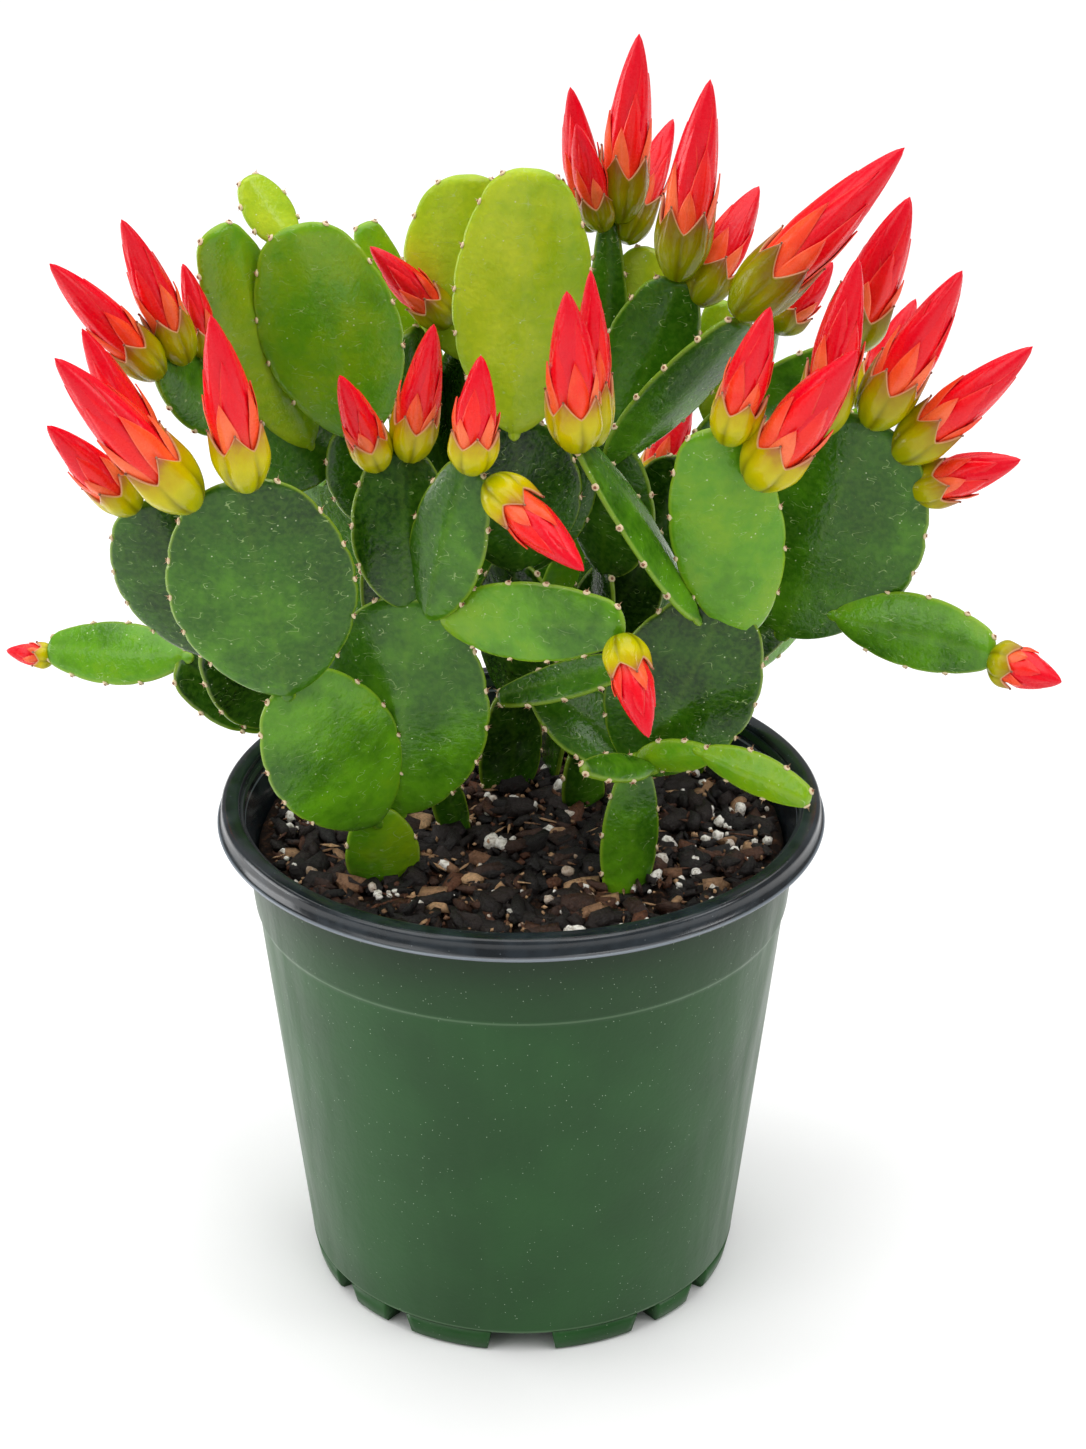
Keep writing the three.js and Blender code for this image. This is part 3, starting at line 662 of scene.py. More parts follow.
def pad_skin(line):
    """A pad's surface: across is half width times cosine, and the thickness is a rounded edge plus a
    hump."""
    start_at, end_at, width, turn, tone = line
    start, length, along, across, out = own_axes(start_at, end_at, turn)
    share = (1 - np.cos(np.pi * np.linspace(0, 1, PAD_ROWS + 1)[:-1])) / 2
    nub = np.sin(np.pi / 2 * np.linspace(-0.98, 0, 5)[:-1]) * PAD["sunk"] / length
    share = np.concatenate([nub, share, [0.9995]])[:, None]
    inside = np.clip(share, 0, 1)
    rounded = np.sqrt(1 - (np.clip(share, None, 0) * length / PAD["sunk"]) ** 2)
    angle = np.linspace(0, 2 * np.pi, PAD_COLUMNS, endpoint=False)[None, :]
    cosine, sine = np.cos(angle), np.sin(angle)
    sides = [half_width(inside, length, width, side) for side in (-1, 1)]
    half = np.maximum(np.where(cosine < 0, *sides), np.where(inside < 0.5, PAD["stalk"] / 2, 0.0)) * rounded
    x = half * cosine
    plump = np.clip(half / (0.22 * width), 0.25, 1) ** 0.6
    hump = (PAD["middle"] - PAD["edge"]) / 2 * (1 - cosine**2) ** 0.8 * (0.6 + 0.4 * np.sin(np.pi * inside))
    rib = PAD["rib"] * np.exp(-((x / 1.1) ** 2)) * (1 - inside) ** 0.4
    thick = PAD["edge"] / 2 * np.abs(sine) ** 0.6 + (hump + rib) * np.abs(sine)
    thick = thick * plump * quarter_round((1 - inside) * length, 0.9) * (0.4 + 0.6 * rounded)
    middle = bent(line, inside, x)
    place = start + (share * length)[..., None] * along + x[..., None] * across
    place = place + (np.sign(sine) * thick + middle)[..., None] * out
    draw = own_draw(line)
    # Painted light and shade: each pad's tone rises towards one side or the other, and towards its foot.
    painted_light_across, painted_light_at_foot = draw.uniform(-0.11, 0.11), draw.uniform(0, 0.24)
    marks = {
        "margin": np.minimum(half - np.abs(x), (1 - inside) * length) * np.ones_like(x),
        "rib": np.abs(x),
        "tone": tone + painted_light_across * 2 * x / width + painted_light_at_foot * (0.5 - inside),
    }
    foot = start - PAD["sunk"] * along + middle[0].mean() * out
    return closed_skin(place, foot, start + length * along + middle[-1].mean() * out, marks)


def margin_places(line):
    """Where a pad's areoles sit, the way they point and the way out of the pad's face there: one in each
    notch on both sides, and one on each corner of the far end."""
    start_at, end_at, width, turn, _ = line
    start, length, along, across, out = own_axes(start_at, end_at, turn)
    lobes = teeth(length)
    places = []
    for side in (-1, 1):
        notches = (np.arange(1, lobes) - NOTCH_SHIFT * side) / lobes
        corner = 1 - 0.3 * PAD["corner"] * width / length
        for share in [*notches[notches < corner - 0.08], corner]:
            x = side * half_width(np.array(share), length, width, side)
            place = start + share * length * along + x * across + bent(line, share, x) * out
            way = side * across + (1.2 if share == corner else 0.35) * along
            places.append((place, way, out))
    return places


for stem, pads in STEMS.items():
    skin = joined([pad_skin(line) for line in pads])
    put_in_scene(f"pads_{stem}", skin, [green_skin], [f"stem_{stem}"])
print("pads:", sum(len(p) for p in STEMS.values()), "of", 2 * PAD_ROWS * PAD_COLUMNS, "triangles each")

# %% [markdown]
# ## Buds
# A bud's cup is an urn with five bulging ribs and five pointed scales at its rim, glossy and yellow-green.
# Red petals stand in it, the outermost short, pointed and coral, the inner ones longer and deeper red, each
# wrapped round the next and drawn to a point.

# %% Cup and petal finishes
cup_finish = Recipe("olive_cup")
cup_mottle = cup_finish.effect(MOTTLE, Patch=3, Amount=0.07)
cup_height = cup_finish.math("ADD", cup_finish.mark("height"), cup_mottle)
young = cup_finish.ramp(
    cup_height,
    (0.0, hue(146, 156, 0)),
    (0.52, hue(198, 186, 0)),
    (0.76, hue(190, 162, 2)),
    (0.9, hue(174, 120, 38)),
    (1.0, hue(166, 96, 66)),
)
old = cup_finish.ramp(
    cup_height,
    (0.0, hue(114, 132, 0)),
    (0.4, hue(130, 134, 0)),
    (0.72, hue(108, 92, 2)),
    (1.0, hue(122, 62, 30)),
)
olive = cup_finish.mix(cup_finish.mark("ripe"), young, old)
# Painted shade: the grooves between the cup's ribs are painted dark olive, as shade in the hollows.
groove_shaded = cup_finish.over(olive, hue(92, 84, 0), cup_finish.mark("fold"), 0.5, 0.98, 0.7)
rimmed = cup_finish.over(groove_shaded, hue(214, 156, 118), cup_finish.mark("rim"), 0.4, 0.05, 0.75)
cup_grain = cup_finish.noise(0.8, 2)
cup_finish.bump(cup_grain, 0.06)
olive_cup = cup_finish.finish(rimmed, cup_finish.fade(cup_grain, 0.3, 0.7, 0.14, 0.24), 0.24)

petal_finish = Recipe("red_petal")
rise_mark = petal_finish.mark("rise")
red = petal_finish.ramp(
    petal_finish.math("ADD", petal_finish.mark("outer"), petal_finish.effect(MOTTLE, Patch=4, Amount=0.06)),
    (0.0, hue(224, 2, 30)),
    (0.3, hue(236, 8, 24)),
    (0.6, hue(242, 44, 22)),
    (0.8, hue(246, 82, 40)),
    (1.0, hue(248, 112, 66)),
)
based = petal_finish.over(red, hue(244, 96, 30), rise_mark, 0.5, 0.0, 0.4)
tipped = petal_finish.over(based, hue(216, 4, 36), rise_mark, 0.7, 1.0, 0.35)
# Painted highlight: the pale petal margins are partly the petals' own paler edges and partly a highlight.
edged_and_highlit_petal = petal_finish.over(tipped, hue(250, 110, 86), petal_finish.mark("side"), 0.82, 0.98, 0.42)
petal_grain = petal_finish.noise(0.7, 2)
petal_finish.bump(petal_grain, 0.04)
red_petal = petal_finish.finish(edged_and_highlit_petal, petal_finish.fade(petal_grain, 0.3, 0.7, 0.22, 0.34), 0.3)
print("finishes:", olive_cup.name, red_petal.name)

# %% Cup surface
BUD = {
    "socket": 0.18,  # where the petals' foot is, of the length
    "scale": 0.395,  # how high the scales reach, of the length
    "dip": 0.12,  # how deep they are cut, of the length
    "scales": 5,
    "foot": 0.34,  # radius at the foot, of the greatest
    "draw_in": 0.09,  # how much the rim draws in, of the greatest
    "groove": 0.17,  # how deep the grooves between the ribs are, of the radius
    "flare": 0.03,  # how far the scales' points lean out, of the radius
}
CUP_COLUMNS = 60


def spread_round(start, along, across, out, radius, turn, height):
    """Points at a radius, a turn and a height about a growing thing's own axis."""
    return (
        start
        + (height * np.ones_like(radius * turn))[..., None] * along
        + (radius * np.cos(turn))[..., None] * across
        + (radius * np.sin(turn))[..., None] * out
    )


def cup_skin(line, turned, ripe):
    """An egg-shaped urn: its radius swells from the foot and draws in a little at the rim. Its rim follows a
    saw of five scales, with a groove running down between them, and an inner wall goes down under the
    petals."""
    start_at, end_at, width = line
    start, length, along, across, out = own_axes(start_at, end_at)
    angle = np.linspace(0, 2 * np.pi, CUP_COLUMNS, endpoint=False)[None, :]
    saw = np.abs(((BUD["scales"] * angle / (2 * np.pi)) % 1) * 2 - 1)
    rim = BUD["scale"] - BUD["dip"] * (1 - saw**1.3)
    up = np.linspace(0, 1, 17)[:, None] ** 1.15
    swell = (1 - BUD["foot"]) * np.sin(np.pi / 2 * np.clip(up / 0.62, 0, 1)) ** 0.75
    egg = BUD["foot"] + swell - BUD["draw_in"] * np.clip((up - 0.6) / 0.4, 0, 1) ** 1.5
    groove = 1 - BUD["groove"] * (1 - saw) ** 1.8 * np.sin(np.pi * (0.1 + 0.85 * up)) ** 0.7
    flare = 1 + BUD["flare"] * saw**4 * up**3
    outer_radius = egg * groove * flare * width / 2
    outer_height = up * rim * length
    down = np.linspace(0, 1, 5)[:, None]
    inner_radius = (outer_radius[-1:] - 0.3 - 0.3 * down**0.5) * (1 - 0.2 * down)
    inner_height = (rim * (1 - down) + BUD["socket"] * down) * length
    radius = np.concatenate([outer_radius, inner_radius])
    height = np.concatenate([outer_height, inner_height])
    level = 0.7 + 0.3 * saw
    marks = {
        "height": np.concatenate([up * level, np.ones((5, 1)) * level]),
        "fold": np.concatenate([(1 - saw) * (1 - 0.35 * up), np.zeros((5, 1)) * saw]),
        "rim": np.concatenate([(1 - up) * rim * length, 0 * inner_height]),
        "ripe": np.full(radius.shape, ripe),
    }
    place = spread_round(start, along, across, out, radius, angle + turned, height)
    return closed_skin(place, start, start + BUD["socket"] * length * along, marks)


def scale_tips(line, turned):
    """The points of a cup's scales, and the way out from the bud's axis there."""
    start_at, end_at, width = line
    start, length, along, across, out = own_axes(start_at, end_at)
    turns = 2 * np.pi * np.arange(BUD["scales"]) / BUD["scales"] + turned
    ways = np.cos(turns)[:, None] * across + np.sin(turns)[:, None] * out
    return start + BUD["scale"] * length * along + 0.93 * width / 2 * ways, ways


# %% Petal surfaces
PETALS = 13
GOLDEN_TURN = math.radians(137.5)
PETAL_ROWS, PETAL_COLUMNS = 13, 11
PETAL = {
    "foot": 0.2,  # of the bud's length
    "keel": 0.06,  # how high the keel stands, of the bud's radius
    "lean": 0.3,  # how far an outer petal's point stands off, in mm
    "thick": 0.3,  # at its middle, in mm
    "margin": 0.06,  # the thickness at its margin, in mm
    "twist": 0.35,  # radians round the bud from foot to tip
}
# What changes from the outermost petal, rank 0, to the innermost, rank 1. The first third are short and
# coral.
RANKS = [0, 0.33, 0.42, 1]
REACH = [0.53, 0.63, 0.73, 0.97]  # of the bud's length
CORAL = [1.0, 0.72, 0.32, 0.0]
INSET = [0.0, 0.04, 0.1, 0.19]  # of the bud's radius
POINT = [1.5, 1.6, 1.9, 2.3]  # the lower, the more pointed
SPREAD = [35, 38, 46, 56]  # half width in degrees round the bud


def bud_radius(share, half):
    """The closed bud's radius along its length: a cylinder in the cup, fullest just above it, then drawn to
    a blunt point."""
    above = np.clip((share - 0.36) / 0.64, 0, 1)
    spindle = 0.88 * half * np.clip(1 - above**2, 0, 1) ** 0.84
    in_cup = min(0.84, 0.93 - 0.75 / half) * half
    opening = np.clip((share - 0.3) / 0.16, 0, 1)
    return np.where(share < 0.46, in_cup + (spindle - in_cup) * opening**1.5, spindle)


def heart_skin(line, first):
    """The bud's core: a spindle whose section is three steps that wind with its length, as the innermost
    petals are wrapped round each other."""
    start_at, end_at, width = line
    start, length, along, across, out = own_axes(start_at, end_at)
    share = BUD["socket"] + (0.995 - BUD["socket"]) * np.sin(np.pi / 2 * np.linspace(0.02, 1, 26))[:, None]
    angle = np.linspace(0, 2 * np.pi, 36, endpoint=False)[None, :]
    wrap = ((3 * (angle + 2.4 * share + first)) / (2 * np.pi)) % 1
    blunt = 1 - 0.5 * np.clip((share - 0.97) / 0.03, 0, 1)
    radius = (0.76 * bud_radius(share, width / 2) * (1 + 0.18 * wrap) + 0.12) * blunt
    marks = {
        "outer": 0 * radius,
        "rise": share * np.ones_like(angle),
        "side": 0.3 * np.ones_like(radius),
    }
    place = spread_round(start, along, across, out, radius, angle, share * length)
    return closed_skin(place, start + BUD["socket"] * length * along, start + length * along, marks)


def petal_skin(line, rank, middle, draw):
    """One petal: a blade wrapped on the bud, widest low down, keeled along its middle and drawn to a point.
    Its ring of points goes over the outer face from one margin to the other and back inside."""
    start_at, end_at, width = line
    start, length, along, across, out = own_axes(start_at, end_at)
    half = width / 2
    runs = (REACH, CORAL, INSET, POINT, SPREAD)
    reach, coral, inset, point, spread = (np.interp(rank, RANKS, run) for run in runs)
    reach += draw.uniform(-0.035, 0.025)
    coral += draw.uniform(-0.12, 0.16)
    rise = np.sin(np.pi / 2 * np.linspace(0, 1, PETAL_ROWS + 1)[:-1])[:, None]
    rise = np.concatenate([rise, [[0.9985]]])
    share = PETAL["foot"] + (reach - PETAL["foot"]) * rise
    side = np.linspace(-1, 1, PETAL_COLUMNS)[None, :]
    outline = (0.92 + 0.3 * rise) * (1 - rise**point)
    ridge = (1 - np.abs(side)) ** 1.3 - 0.5 * side**2
    keel = PETAL["keel"] * half * ridge * np.sin(np.pi * (0.15 + 0.75 * rise))
    lean = PETAL["lean"] * (1 - 0.9 * rank) * min(1, half / 4.5) * rise**4
    radius = (1 - inset) * bud_radius(share, half) + keel + 0.06 * side + lean
    thickness = PETAL["thick"] * (1 - side**4) * (1 - 0.7 * rise) + PETAL["margin"]
    turn = middle + math.radians(spread) * outline * side + PETAL["twist"] * share
    ring_radius = np.concatenate([radius, (radius - thickness)[:, ::-1]], 1)
    ring_turn = np.concatenate([turn, turn[:, ::-1]], 1)
    shape = np.ones_like(ring_turn)
    marks = {
        "outer": coral * shape,
        "rise": rise * shape,
        "side": np.abs(np.concatenate([side, side[:, ::-1]], 1)) * shape,
    }
    place = spread_round(start, along, across, out, ring_radius, ring_turn, share * length)
    return closed_skin(place, place[0].mean(0), place[-1].mean(0), marks)


def bud_skins(line, seed):
    """The heart and the petals, each a golden angle on from the one outside it, as leaves grow on a
    shoot."""
    draw = np.random.default_rng(seed)
    first = draw.uniform(0, 2 * np.pi)
    petals = [petal_skin(line, k / (PETALS - 1), first + k * GOLDEN_TURN, draw) for k in range(PETALS)]
    return [heart_skin(line, first), *petals]


# How dark and ripe the cups of a stem are, from 0 to 1; the others are young.
RIPE = {"centre_right": 0.85, "right": 0.45, "centre_left": 0.6, "front_middle": 0.5, "right_back": 0.8}
cup_turns = np.random.default_rng(3)
cups = {}
for n, (stem, buds) in enumerate(BUDS.items()):
    cups[stem] = [(line, cup_turns.uniform(0, 1.25)) for line in buds.values()]
    skins = [cup_skin(line, turned, RIPE.get(stem, 0.05)) for line, turned in cups[stem]]
    put_in_scene(f"cups_{stem}", joined(skins), [olive_cup])
    for k, (name, line) in enumerate(buds.items()):
        petals = joined(bud_skins(line, 100 * n + k))
        put_in_scene(f"petals_{name}", petals, [red_petal], [f"bud_{name}"])
print("buds:", sum(len(b) for b in BUDS.values()), "with", PETALS, "petals each")

# %% [markdown]
# ## Areoles
# In each notch sits an areole: a pinhead of brown felt with a paler rim and a few short bristles. Each is
# tiny and there are hundreds, so each is two cushions of few faces and two thin cones. A small brown point
# also tips each scale of the cups.

# %% Areole finish and surface
areole_finish = Recipe("areole_felt")
felt = areole_finish.ramp(
    areole_finish.mark("part"), (0.0, hue(214, 196, 158)), (0.5, hue(120, 62, 40)), (1.0, hue(196, 160, 118))
)
felt_grain = areole_finish.noise(0.4, 2)
areole_finish.bump(felt_grain, 0.08)
downy = areole_finish.over(felt, hue(224, 200, 170), felt_grain, 0.35, 0.65, 0.3)
areole_felt = areole_finish.finish(downy, 0.8, 0.2)
print("finish:", areole_felt.name)


def blob_skin(centre, axis, radius, height, part, columns=8):
    """A small cushion: rings at even angles between its poles, which lie along axis."""
    axis = axis / np.linalg.norm(axis)
    u = np.cross(axis, [0.3, 0.5, 0.81])
    u /= np.linalg.norm(u)
    polar = np.linspace(0, np.pi, 5)[1:-1, None]
    angle = np.linspace(0, 2 * np.pi, columns, endpoint=False)[None, :]
    widths, heights = radius * np.sin(polar), -height * np.cos(polar)
    place = spread_round(centre, axis, u, np.cross(axis, u), widths, angle, heights)
    marks = {"part": np.full(place.shape[:2], part)}
    return closed_skin(place, centre - height * axis, centre + height * axis, marks)


def bristle_skin(foot, way, length):
    """A bristle: a three-sided cone."""
    way = way / np.linalg.norm(way)
    u = np.cross(way, [0.2, 0.9, 0.4])
    u /= np.linalg.norm(u)
    angle = np.linspace(0, 2 * np.pi, 3, endpoint=False)[None, :]
    place = spread_round(foot, way, u, np.cross(way, u), 0.1 * np.ones((1, 3)), angle, 0.0)
    return closed_skin(place, foot - 0.2 * way, foot + length * way, {"part": np.ones((1, 3))})


# Radius and height, in mm, of the pale rim, of the brown felt inside it and of a scale's point.
RIM, FELT, TIP = (0.72, 0.3), (0.34, 0.26), (0.26, 0.22)
BRISTLE = (0.8, 1.4)  # the shortest and the longest, in mm
felt_draw = np.random.default_rng(21)
areole_count = 0
for stem, pads in STEMS.items():
    skins = []
    for line in pads:
        for centre, way, out in margin_places(line):
            way = way / np.linalg.norm(way)
            skins.append(blob_skin(centre, way, *RIM, 0.0))
            skins.append(blob_skin(centre + 0.22 * way, way, *FELT, 0.5, 6))
            for bend in (-0.7, 0.7):
                lean = way + bend * out + felt_draw.uniform(-0.4, 0.4, 3)
                skins.append(bristle_skin(centre, lean, felt_draw.uniform(*BRISTLE)))
            areole_count += 1
    for line, turned in cups.get(stem, []):
        for tip, way in zip(*scale_tips(line, turned)):
            skins.append(blob_skin(tip, way, *TIP, 0.5, 5))
    put_in_scene(f"areoles_{stem}", joined(skins), [areole_felt])
print("areoles:", areole_count)

# %% [markdown]
# ## The pot
# A thermoformed nursery pot is one thin sheet of plastic, green outside and black inside, rolled over into
# a black lip. Its profile is turned round the axis; the feet are blocks under the wall, cut off by notches.

# %% Pot sizes
# Radii and heights; the wall is one sheet that steps out at its shoulder and rolls over at its lip.
POT = {
    "height": 100,
    "lip": 57,
    "flange": 0.8,
    "lip_drop": 4,
    "lip_inner": 53.6,
    "skirt": 1.1,
    "neck": 52.4,
    "ledge_drop": 6,
    "shoulder_z": 79,
    "shoulder_step": 0.7,
    "shoulder": 50.6,
    "base": 42.6,
    "wall": 1.4,
    "eye": 8,
}
FEET = {"height": 4.6, "depth": 5.2, "inset": 0.9, "slope": 1.2, "notches": [(0, 16), (35, 6.5), (55, 6.5)]}
print("pot:", 2 * POT["lip"], "mm across its lip,", POT["height"], "mm high")

# %% Pot finishes
pot_finish = Recipe("green_pot_plastic")
streaks = pot_finish.noise(5, 3, 0.6, (1, 1, 0.12))
clouds = pot_finish.noise(22, 3)
pot_green = pot_finish.over(hue(24, 66, 24), hue(30, 76, 30), clouds, 0.3, 0.7)
streaked = pot_finish.over(pot_green, hue(60, 96, 58), streaks, 0.45, 0.75, 0.1)
crease, ledge = POT["shoulder_z"] + 0.3, POT["height"] - POT["ledge_drop"]
above_floor = pot_finish.height()
step_low, step_high = (crease + 0.1) * MM, (crease + 0.9) * MM
# Painted shade: the wall is painted darker above the shoulder and darker still under the lip, as its shadow.
shoulder_band_shade = pot_finish.over(streaked, hue(14, 40, 15), above_floor, step_low, step_high, 0.35)
lip_shadow_painted = pot_finish.over(shoulder_band_shade, hue(8, 28, 10), above_floor, (crease + 1.7) * MM, ledge * MM, 0.6)
# Painted highlight: a thin pale line along the shoulder's step and along the fold above the feet.
fold_heights = [crease, FEET["height"] + 0.7]
folds = pot_finish.math("MAXIMUM", *[pot_finish.near(above_floor, z * MM, 0.4 * MM) for z in fold_heights])
fold_highlit = pot_finish.mix(pot_finish.math("MULTIPLY", folds, 0.3), lip_shadow_painted, hue(110, 138, 104))
pot_specks = pot_finish.effect(DUST, Pitch=0.9, Speck=0.13, Strength=0.75)
flecked = pot_finish.mix(pot_specks, fold_highlit, hue(176, 196, 170))
dents = pot_finish.math("ADD", clouds, pot_finish.math("MULTIPLY", pot_finish.noise(1.2, 2), 0.15))
pot_finish.bump(dents, 0.25)
green_plastic = pot_finish.finish(flecked, pot_finish.fade(streaks, 0.3, 0.7, 0.3, 0.42), 0.28)

lip_finish = Recipe("black_lip_plastic")
lip_clouds = lip_finish.noise(6, 3)
lip_black = lip_finish.over(hue(18, 23, 27), hue(34, 42, 48), lip_clouds, 0.3, 0.7)
# Painted highlight: a thin pale line along the flange at the lip's lower edge, where it catches the light.
flange_middle = POT["height"] - POT["lip_drop"] + 0.4
flange_line = lip_finish.near(lip_finish.height(), flange_middle * MM, 0.3 * MM)
flange_highlight = lip_finish.mix(lip_finish.math("MULTIPLY", flange_line, 0.55), lip_black, hue(150, 160, 170))
lip_specks = lip_finish.effect(DUST, Pitch=1.0, Speck=0.12, Strength=0.4)
dusted = lip_finish.mix(lip_specks, flange_highlight, hue(150, 160, 160))
lip_finish.bump(lip_clouds, 0.08)
black_plastic = lip_finish.finish(dusted, lip_finish.fade(lip_clouds, 0.3, 0.7, 0.16, 0.26), 0.5)
print("finishes:", green_plastic.name, black_plastic.name)

# %% Pot surface
GREEN, BLACK = 0, 1


def arc(radius, height, bend, start, end, colour):
    """A corner of the profile: five points at a distance bend from (radius, height), between two angles in
    degrees, where 0 looks outward and 90 up."""
    turns = np.radians(np.linspace(start, end, 5))
    return [(radius + bend * math.cos(t), height + bend * math.sin(t), colour) for t in turns]


def pot_profile():
    """Radius, height and colour round the pot's section, from the floor's middle outside to its middle
    inside."""
    p, floor, top, wall = POT, FEET["height"], POT["height"], POT["wall"]
    ledge, under_lip, flange_z = top - p["ledge_drop"], top - p["skirt"], top - p["lip_drop"]
    rise = np.linspace(0, 1, 5)
    crease = p["shoulder"] + p["shoulder_step"] * (1 - np.cos(np.pi * rise)) / 2
    outer_wall = [
        (p["eye"], floor, GREEN),
        *arc(p["base"] - 1, floor + 1, 1, -90, 0, GREEN),
        *[(r, p["shoulder_z"] - 0.8 + 2 * up, GREEN) for r, up in zip(crease, rise)],
        (p["neck"] + 0.4, ledge - 0.6, GREEN),
    ]
    rolled_lip = [
        (p["neck"] + 0.4, under_lip, BLACK),
        (p["lip"] - p["skirt"], under_lip, BLACK),
        (p["lip"] - p["skirt"], flange_z, BLACK),
        *arc(p["lip"] + p["flange"] - 0.3, flange_z + 0.3, 0.3, -90, 90, BLACK),
        (p["lip"], flange_z + 0.9, BLACK),
        *arc(p["lip"] - 1, top - 1, 1, 0, 90, BLACK),
        *arc(p["lip_inner"] + 0.6, top - 0.8, 0.8, 90, 180, BLACK),
    ]
    inner_wall = [
        (p["neck"] - 0.7, ledge, BLACK),
        (p["neck"] - wall, ledge - 0.8, BLACK),
        (p["shoulder"] - wall, p["shoulder_z"], BLACK),
        (p["base"] - wall, floor + wall, BLACK),
        (p["eye"], floor + wall, BLACK),
    ]
    return np.array(outer_wall + rolled_lip + inner_wall)


def pot_skin(columns=192):
    """The profile carried round the axis, closed by a pole below and one above the floor."""
    radius, height, black = (pot_profile()[:, k : k + 1] for k in range(3))
    angle = np.linspace(0, 2 * np.pi, columns, endpoint=False)[None, :]
    around = np.ones_like(angle)
    ring = np.stack([radius * np.cos(angle), radius * np.sin(angle), height * around], -1)
    floor = FEET["height"]
    return closed_skin(ring, [0, 0, floor], [0, 0, floor + POT["wall"]], {"black": black * around})


def foot_skin(start, end):
    """A foot: a block bent round the axis from one notch to the next, in degrees. Its four edges are set out
    as radius, height and whether the foot's ends slope in there."""
    angle = np.radians(np.linspace(start, end, 14))[:, None]
    inward = np.linspace(1, -1, 14)[:, None] * math.radians(FEET["slope"])
    back, joint = POT["base"] - FEET["depth"], FEET["height"] + 0.3
    edges = [
        (POT["base"] - 0.05, joint, 0),
        (POT["base"] - FEET["inset"], 0.7, 0.85),
        (POT["base"] - FEET["inset"] - 0.7, 0, 1),
        (back, 0, 1),
        (back, joint, 0),
    ]
    radius, height, slopes = np.array(edges).T
    turn = angle + inward * slopes
    ring = np.stack([radius * np.cos(turn), radius * np.sin(turn), height * np.ones_like(turn)], -1)
    return closed_skin(ring, ring[0].mean(0), ring[-1].mean(0), {"black": np.zeros(ring.shape[:2])})


cuts = sorted((quarter + at - 90, wide) for quarter in (0, 90, 180, 270) for at, wide in FEET["notches"])
cuts.append((cuts[0][0] + 360, cuts[0][1]))
feet = [foot_skin(at + wide / 2, to - gap / 2) for (at, wide), (to, gap) in zip(cuts, cuts[1:])]
pot = joined([pot_skin(), *feet])
black_face = np.concatenate([pot.marks["black"][faces].mean(1) > 0.6 for faces in (pot.quads, pot.tris)])
put_in_scene("nursery_pot", pot, [green_plastic, black_plastic], ["pot"], black_face)
print("pot:", len(feet), "feet")

# %% [markdown]
# ## The soil
# Potting mix for these plants is bark: dark chunks and fibres with white grains of perlite. The surface is
# a bumpy sheet, and chips and grains lie over it, half sunk, turned every way by a seeded draw.

# %% Soil finishes
soil_finish = Recipe("bark_soil")
crumbs = soil_finish.noise(1.6, 5, 0.65)
soil_colour = soil_finish.ramp(
    crumbs, (0.3, hue(9, 6, 5)), (0.5, hue(28, 18, 13)), (0.65, hue(64, 41, 27)), (0.8, hue(120, 84, 56))
)
soil_finish.bump(crumbs, 1.2)
bark_soil = soil_finish.finish(soil_colour, 0.9, 0.15)

chip_finish = Recipe("bark_chip")
chip_grain = chip_finish.noise(0.8, 5, 0.65)
chip_colour = chip_finish.ramp(
    chip_finish.mark("shade"),
    (0.0, hue(12, 8, 6)),
    (0.45, hue(34, 21, 16)),
    (0.75, hue(104, 62, 38)),
    (1.0, hue(222, 178, 132)),
)
stained = chip_finish.over(chip_colour, hue(18, 11, 9), chip_grain, 0.35, 0.7, 0.5)
chip_finish.bump(chip_grain, 0.7)
bark_chip = chip_finish.finish(stained, chip_finish.fade(chip_grain, 0.3, 0.7, 0.35, 0.65), 0.4)

perlite_finish = Recipe("white_perlite")
pores = perlite_finish.noise(0.7, 3)
porous = perlite_finish.over(hue(178, 170, 158), hue(240, 237, 228), pores, 0.3, 0.6)
perlite_colour = perlite_finish.over(
    porous, hue(150, 112, 74), perlite_finish.mark("shade"), 0.4, 0.0, 0.75
)
perlite_finish.bump(pores, 0.3)
white_perlite = perlite_finish.finish(perlite_colour, 0.85, 0.2)
print("finishes:", bark_soil.name, bark_chip.name, white_perlite.name)

# %% Soil surface
SOIL_TOP = 91.5
soil_radius = POT["neck"] - POT["wall"] - 0.8


def soil_height(x, y):
    """The soil's height: three crossed waves of falling size, about a millimetre each way."""
    return (
        SOIL_TOP
        + 0.8 * np.sin(0.31 * x + 0.12 * y) * np.cos(0.27 * y - 0.1 * x)
        + 0.45 * np.sin(0.83 * x - 0.4 * y + 1) * np.cos(0.71 * y + 0.5 * x)
        + 0.25 * np.sin(1.9 * x + 1.1 * y) * np.sin(1.7 * y - 0.9 * x)
    )


def soil_skin(rows=60, columns=150):
    """A disc of rings with a wall and a flat underside: radius falls from the wall to the middle."""
    angle = np.linspace(0, 2 * np.pi, columns, endpoint=False)[None, :]
    floor = FEET["height"] + POT["wall"] + 0.3
    low_radius = POT["base"] - POT["wall"] - 0.6
    shoulder_radius = POT["shoulder"] - POT["wall"] - 0.6
    top_radii = soil_radius * np.linspace(0.99, 0.02, rows)
    radii = np.concatenate([[low_radius, shoulder_radius, soil_radius], top_radii])
    x, y = radii[:, None] * np.cos(angle), radii[:, None] * np.sin(angle)
    z = soil_height(x, y)
    z[0], z[1], z[2] = floor, POT["shoulder_z"], SOIL_TOP - 1.5
    return closed_skin(np.stack([x, y, z], -1), [0, 0, floor], [0, 0, SOIL_TOP], {})


put_in_scene("soil_bed", soil_skin(), [bark_soil], ["soil"])
print("soil: up to", round(POT["height"] - SOIL_TOP, 1), "mm below the lip")

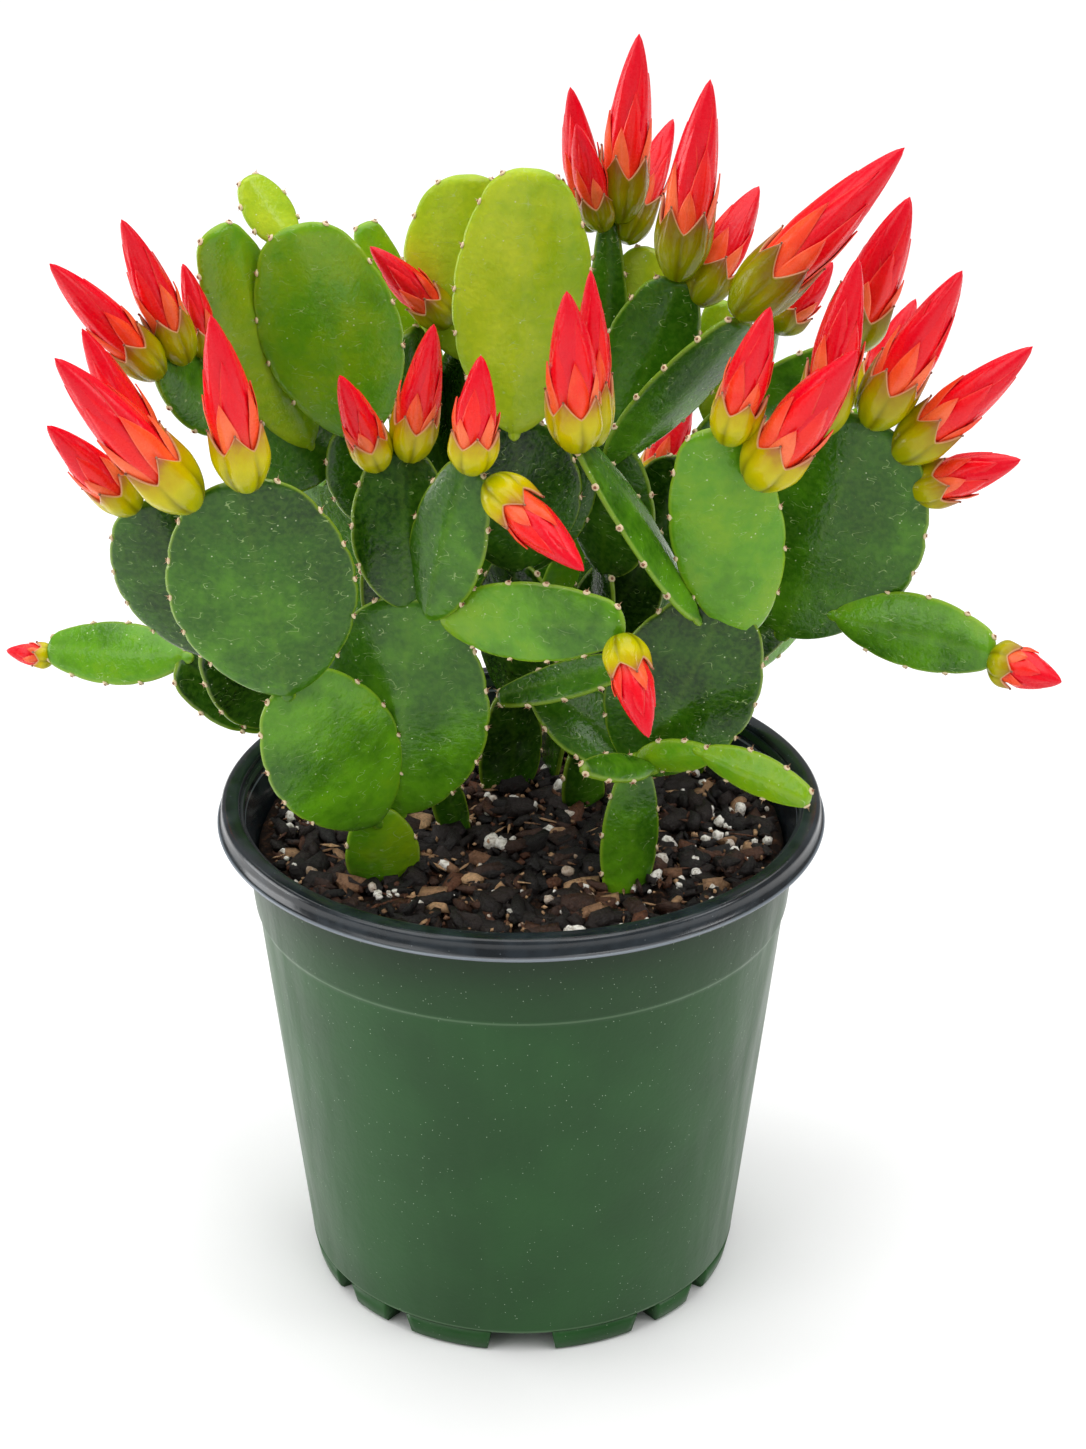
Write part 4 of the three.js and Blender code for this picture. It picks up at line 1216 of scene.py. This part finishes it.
# %% Chips and grains
LITTER = {"chips": 1400, "splinters": 320, "crumbs": 700, "grains": 380}
scatter = np.random.default_rng(5)


def lump_skin(centre, size, turned, shade, rows=3, columns=6, rough=0.25, blocky=1.0):
    """A chip or grain: a ball of few faces, stretched to size, with each corner pushed in or out by a draw.
    blocky, below 1, is the power that takes the ball towards a box."""
    polar = np.linspace(0, np.pi, rows + 2)[1:-1, None]
    angle = np.linspace(0, 2 * np.pi, columns, endpoint=False)[None, :]
    level = np.cos(polar) * np.ones_like(angle)
    ball = np.stack([np.sin(polar) * np.cos(angle), np.sin(polar) * np.sin(angle), level], -1)
    ball = np.sign(ball) * np.abs(ball) ** blocky
    ball = ball * (1 + scatter.uniform(-rough, rough, ball.shape[:2]))[..., None] * size
    top = np.array([0, 0, size[2]]) @ turned
    marks = {"shade": np.full(level.shape, shade)}
    return closed_skin(centre + ball @ turned, centre + top, centre - top, marks)


def any_turn(tilt):
    """A rotation: any heading, then a lean of up to tilt radians about a level axis."""
    heading, lean = scatter.uniform(0, 2 * np.pi), scatter.uniform(-tilt, tilt)
    c, s = math.cos(heading), math.sin(heading)
    level = np.array([[c, s, 0], [-s, c, 0], [0, 0, 1]])
    c, s = math.cos(lean), math.sin(lean)
    leaned = np.array([[1, 0, 0], [0, c, s], [0, -s, c]])
    return leaned @ level


def on_soil(margin):
    """An even draw over the soil's disc, margin inside its wall."""
    radius = (soil_radius - margin) * math.sqrt(scatter.uniform(0, 1))
    angle = scatter.uniform(0, 2 * np.pi)
    x, y = radius * math.cos(angle), radius * math.sin(angle)
    return np.array([x, y, float(soil_height(x, y))])


chips = []
for _ in range(LITTER["chips"]):
    long = min(scatter.gamma(4, 0.5) + 0.5, 3.8)
    size = np.array([long, long * scatter.uniform(0.35, 0.8), long * scatter.uniform(0.2, 0.5)])
    place = on_soil(long + 0.6) + [0, 0, scatter.uniform(-0.6, 1.9)]
    chips.append(lump_skin(place, size, any_turn(1.3), scatter.beta(0.9, 1.9), rough=0.36, blocky=0.7))
for _ in range(LITTER["splinters"]):
    long = scatter.uniform(1.2, 3.2)
    size = np.array([long, scatter.uniform(0.2, 0.5), 0.22])
    place = on_soil(long + 0.6) + [0, 0, scatter.uniform(0.6, 2.2)]
    chips.append(lump_skin(place, size, any_turn(0.6), scatter.uniform(0.65, 1.0), columns=4, rough=0.2))
for _ in range(LITTER["crumbs"]):
    size = scatter.uniform(0.25, 0.7) * scatter.uniform(0.6, 1.2, 3)
    place = on_soil(1.5) + [0, 0, scatter.uniform(0.6, 2.2)]
    chips.append(lump_skin(place, size, any_turn(1.5), scatter.uniform(0.6, 1.0), columns=4, rough=0.3))
put_in_scene("bark_chips", joined(chips), [bark_chip], smooth=False)

grains = []
for _ in range(LITTER["grains"]):
    wide = min(scatter.gamma(2.2, 0.26) + 0.2, 1.6)
    size = wide * scatter.uniform(0.7, 1.2, 3)
    place = on_soil(wide + 0.6) + [0, 0, 1.1 + 0.3 * wide]
    grains.append(lump_skin(place, size, any_turn(1.5), scatter.uniform(), 4, 7, 0.2, 0.85))
put_in_scene("perlite_grains", joined(grains), [white_perlite])
print("litter:", LITTER)

# %% [markdown]
# ## The floor
# A plain pale table, large enough to fill the picture from every side.

# %% Floor
floor_finish = Recipe("pale_floor")
pale = floor_finish.over((0.86, 0.86, 0.86), (0.88, 0.88, 0.88), floor_finish.noise(60, 2), 0.3, 0.7)
floor_finish.finish(pale, 0.6, 0.2)
floor_mesh = bpy.data.meshes.new("floor")
reach = 4.0  # metres from the middle to each side
corners = [(-reach, -reach, 0), (reach, -reach, 0), (reach, reach, 0), (-reach, reach, 0)]
floor_mesh.from_pydata(corners, [], [(0, 1, 2, 3)])
floor_mesh.materials.append(floor_finish.material)
floor = bpy.data.objects.new("floor", floor_mesh)
scene.collection.objects.link(floor)
print("floor:", 2 * reach, "m square")
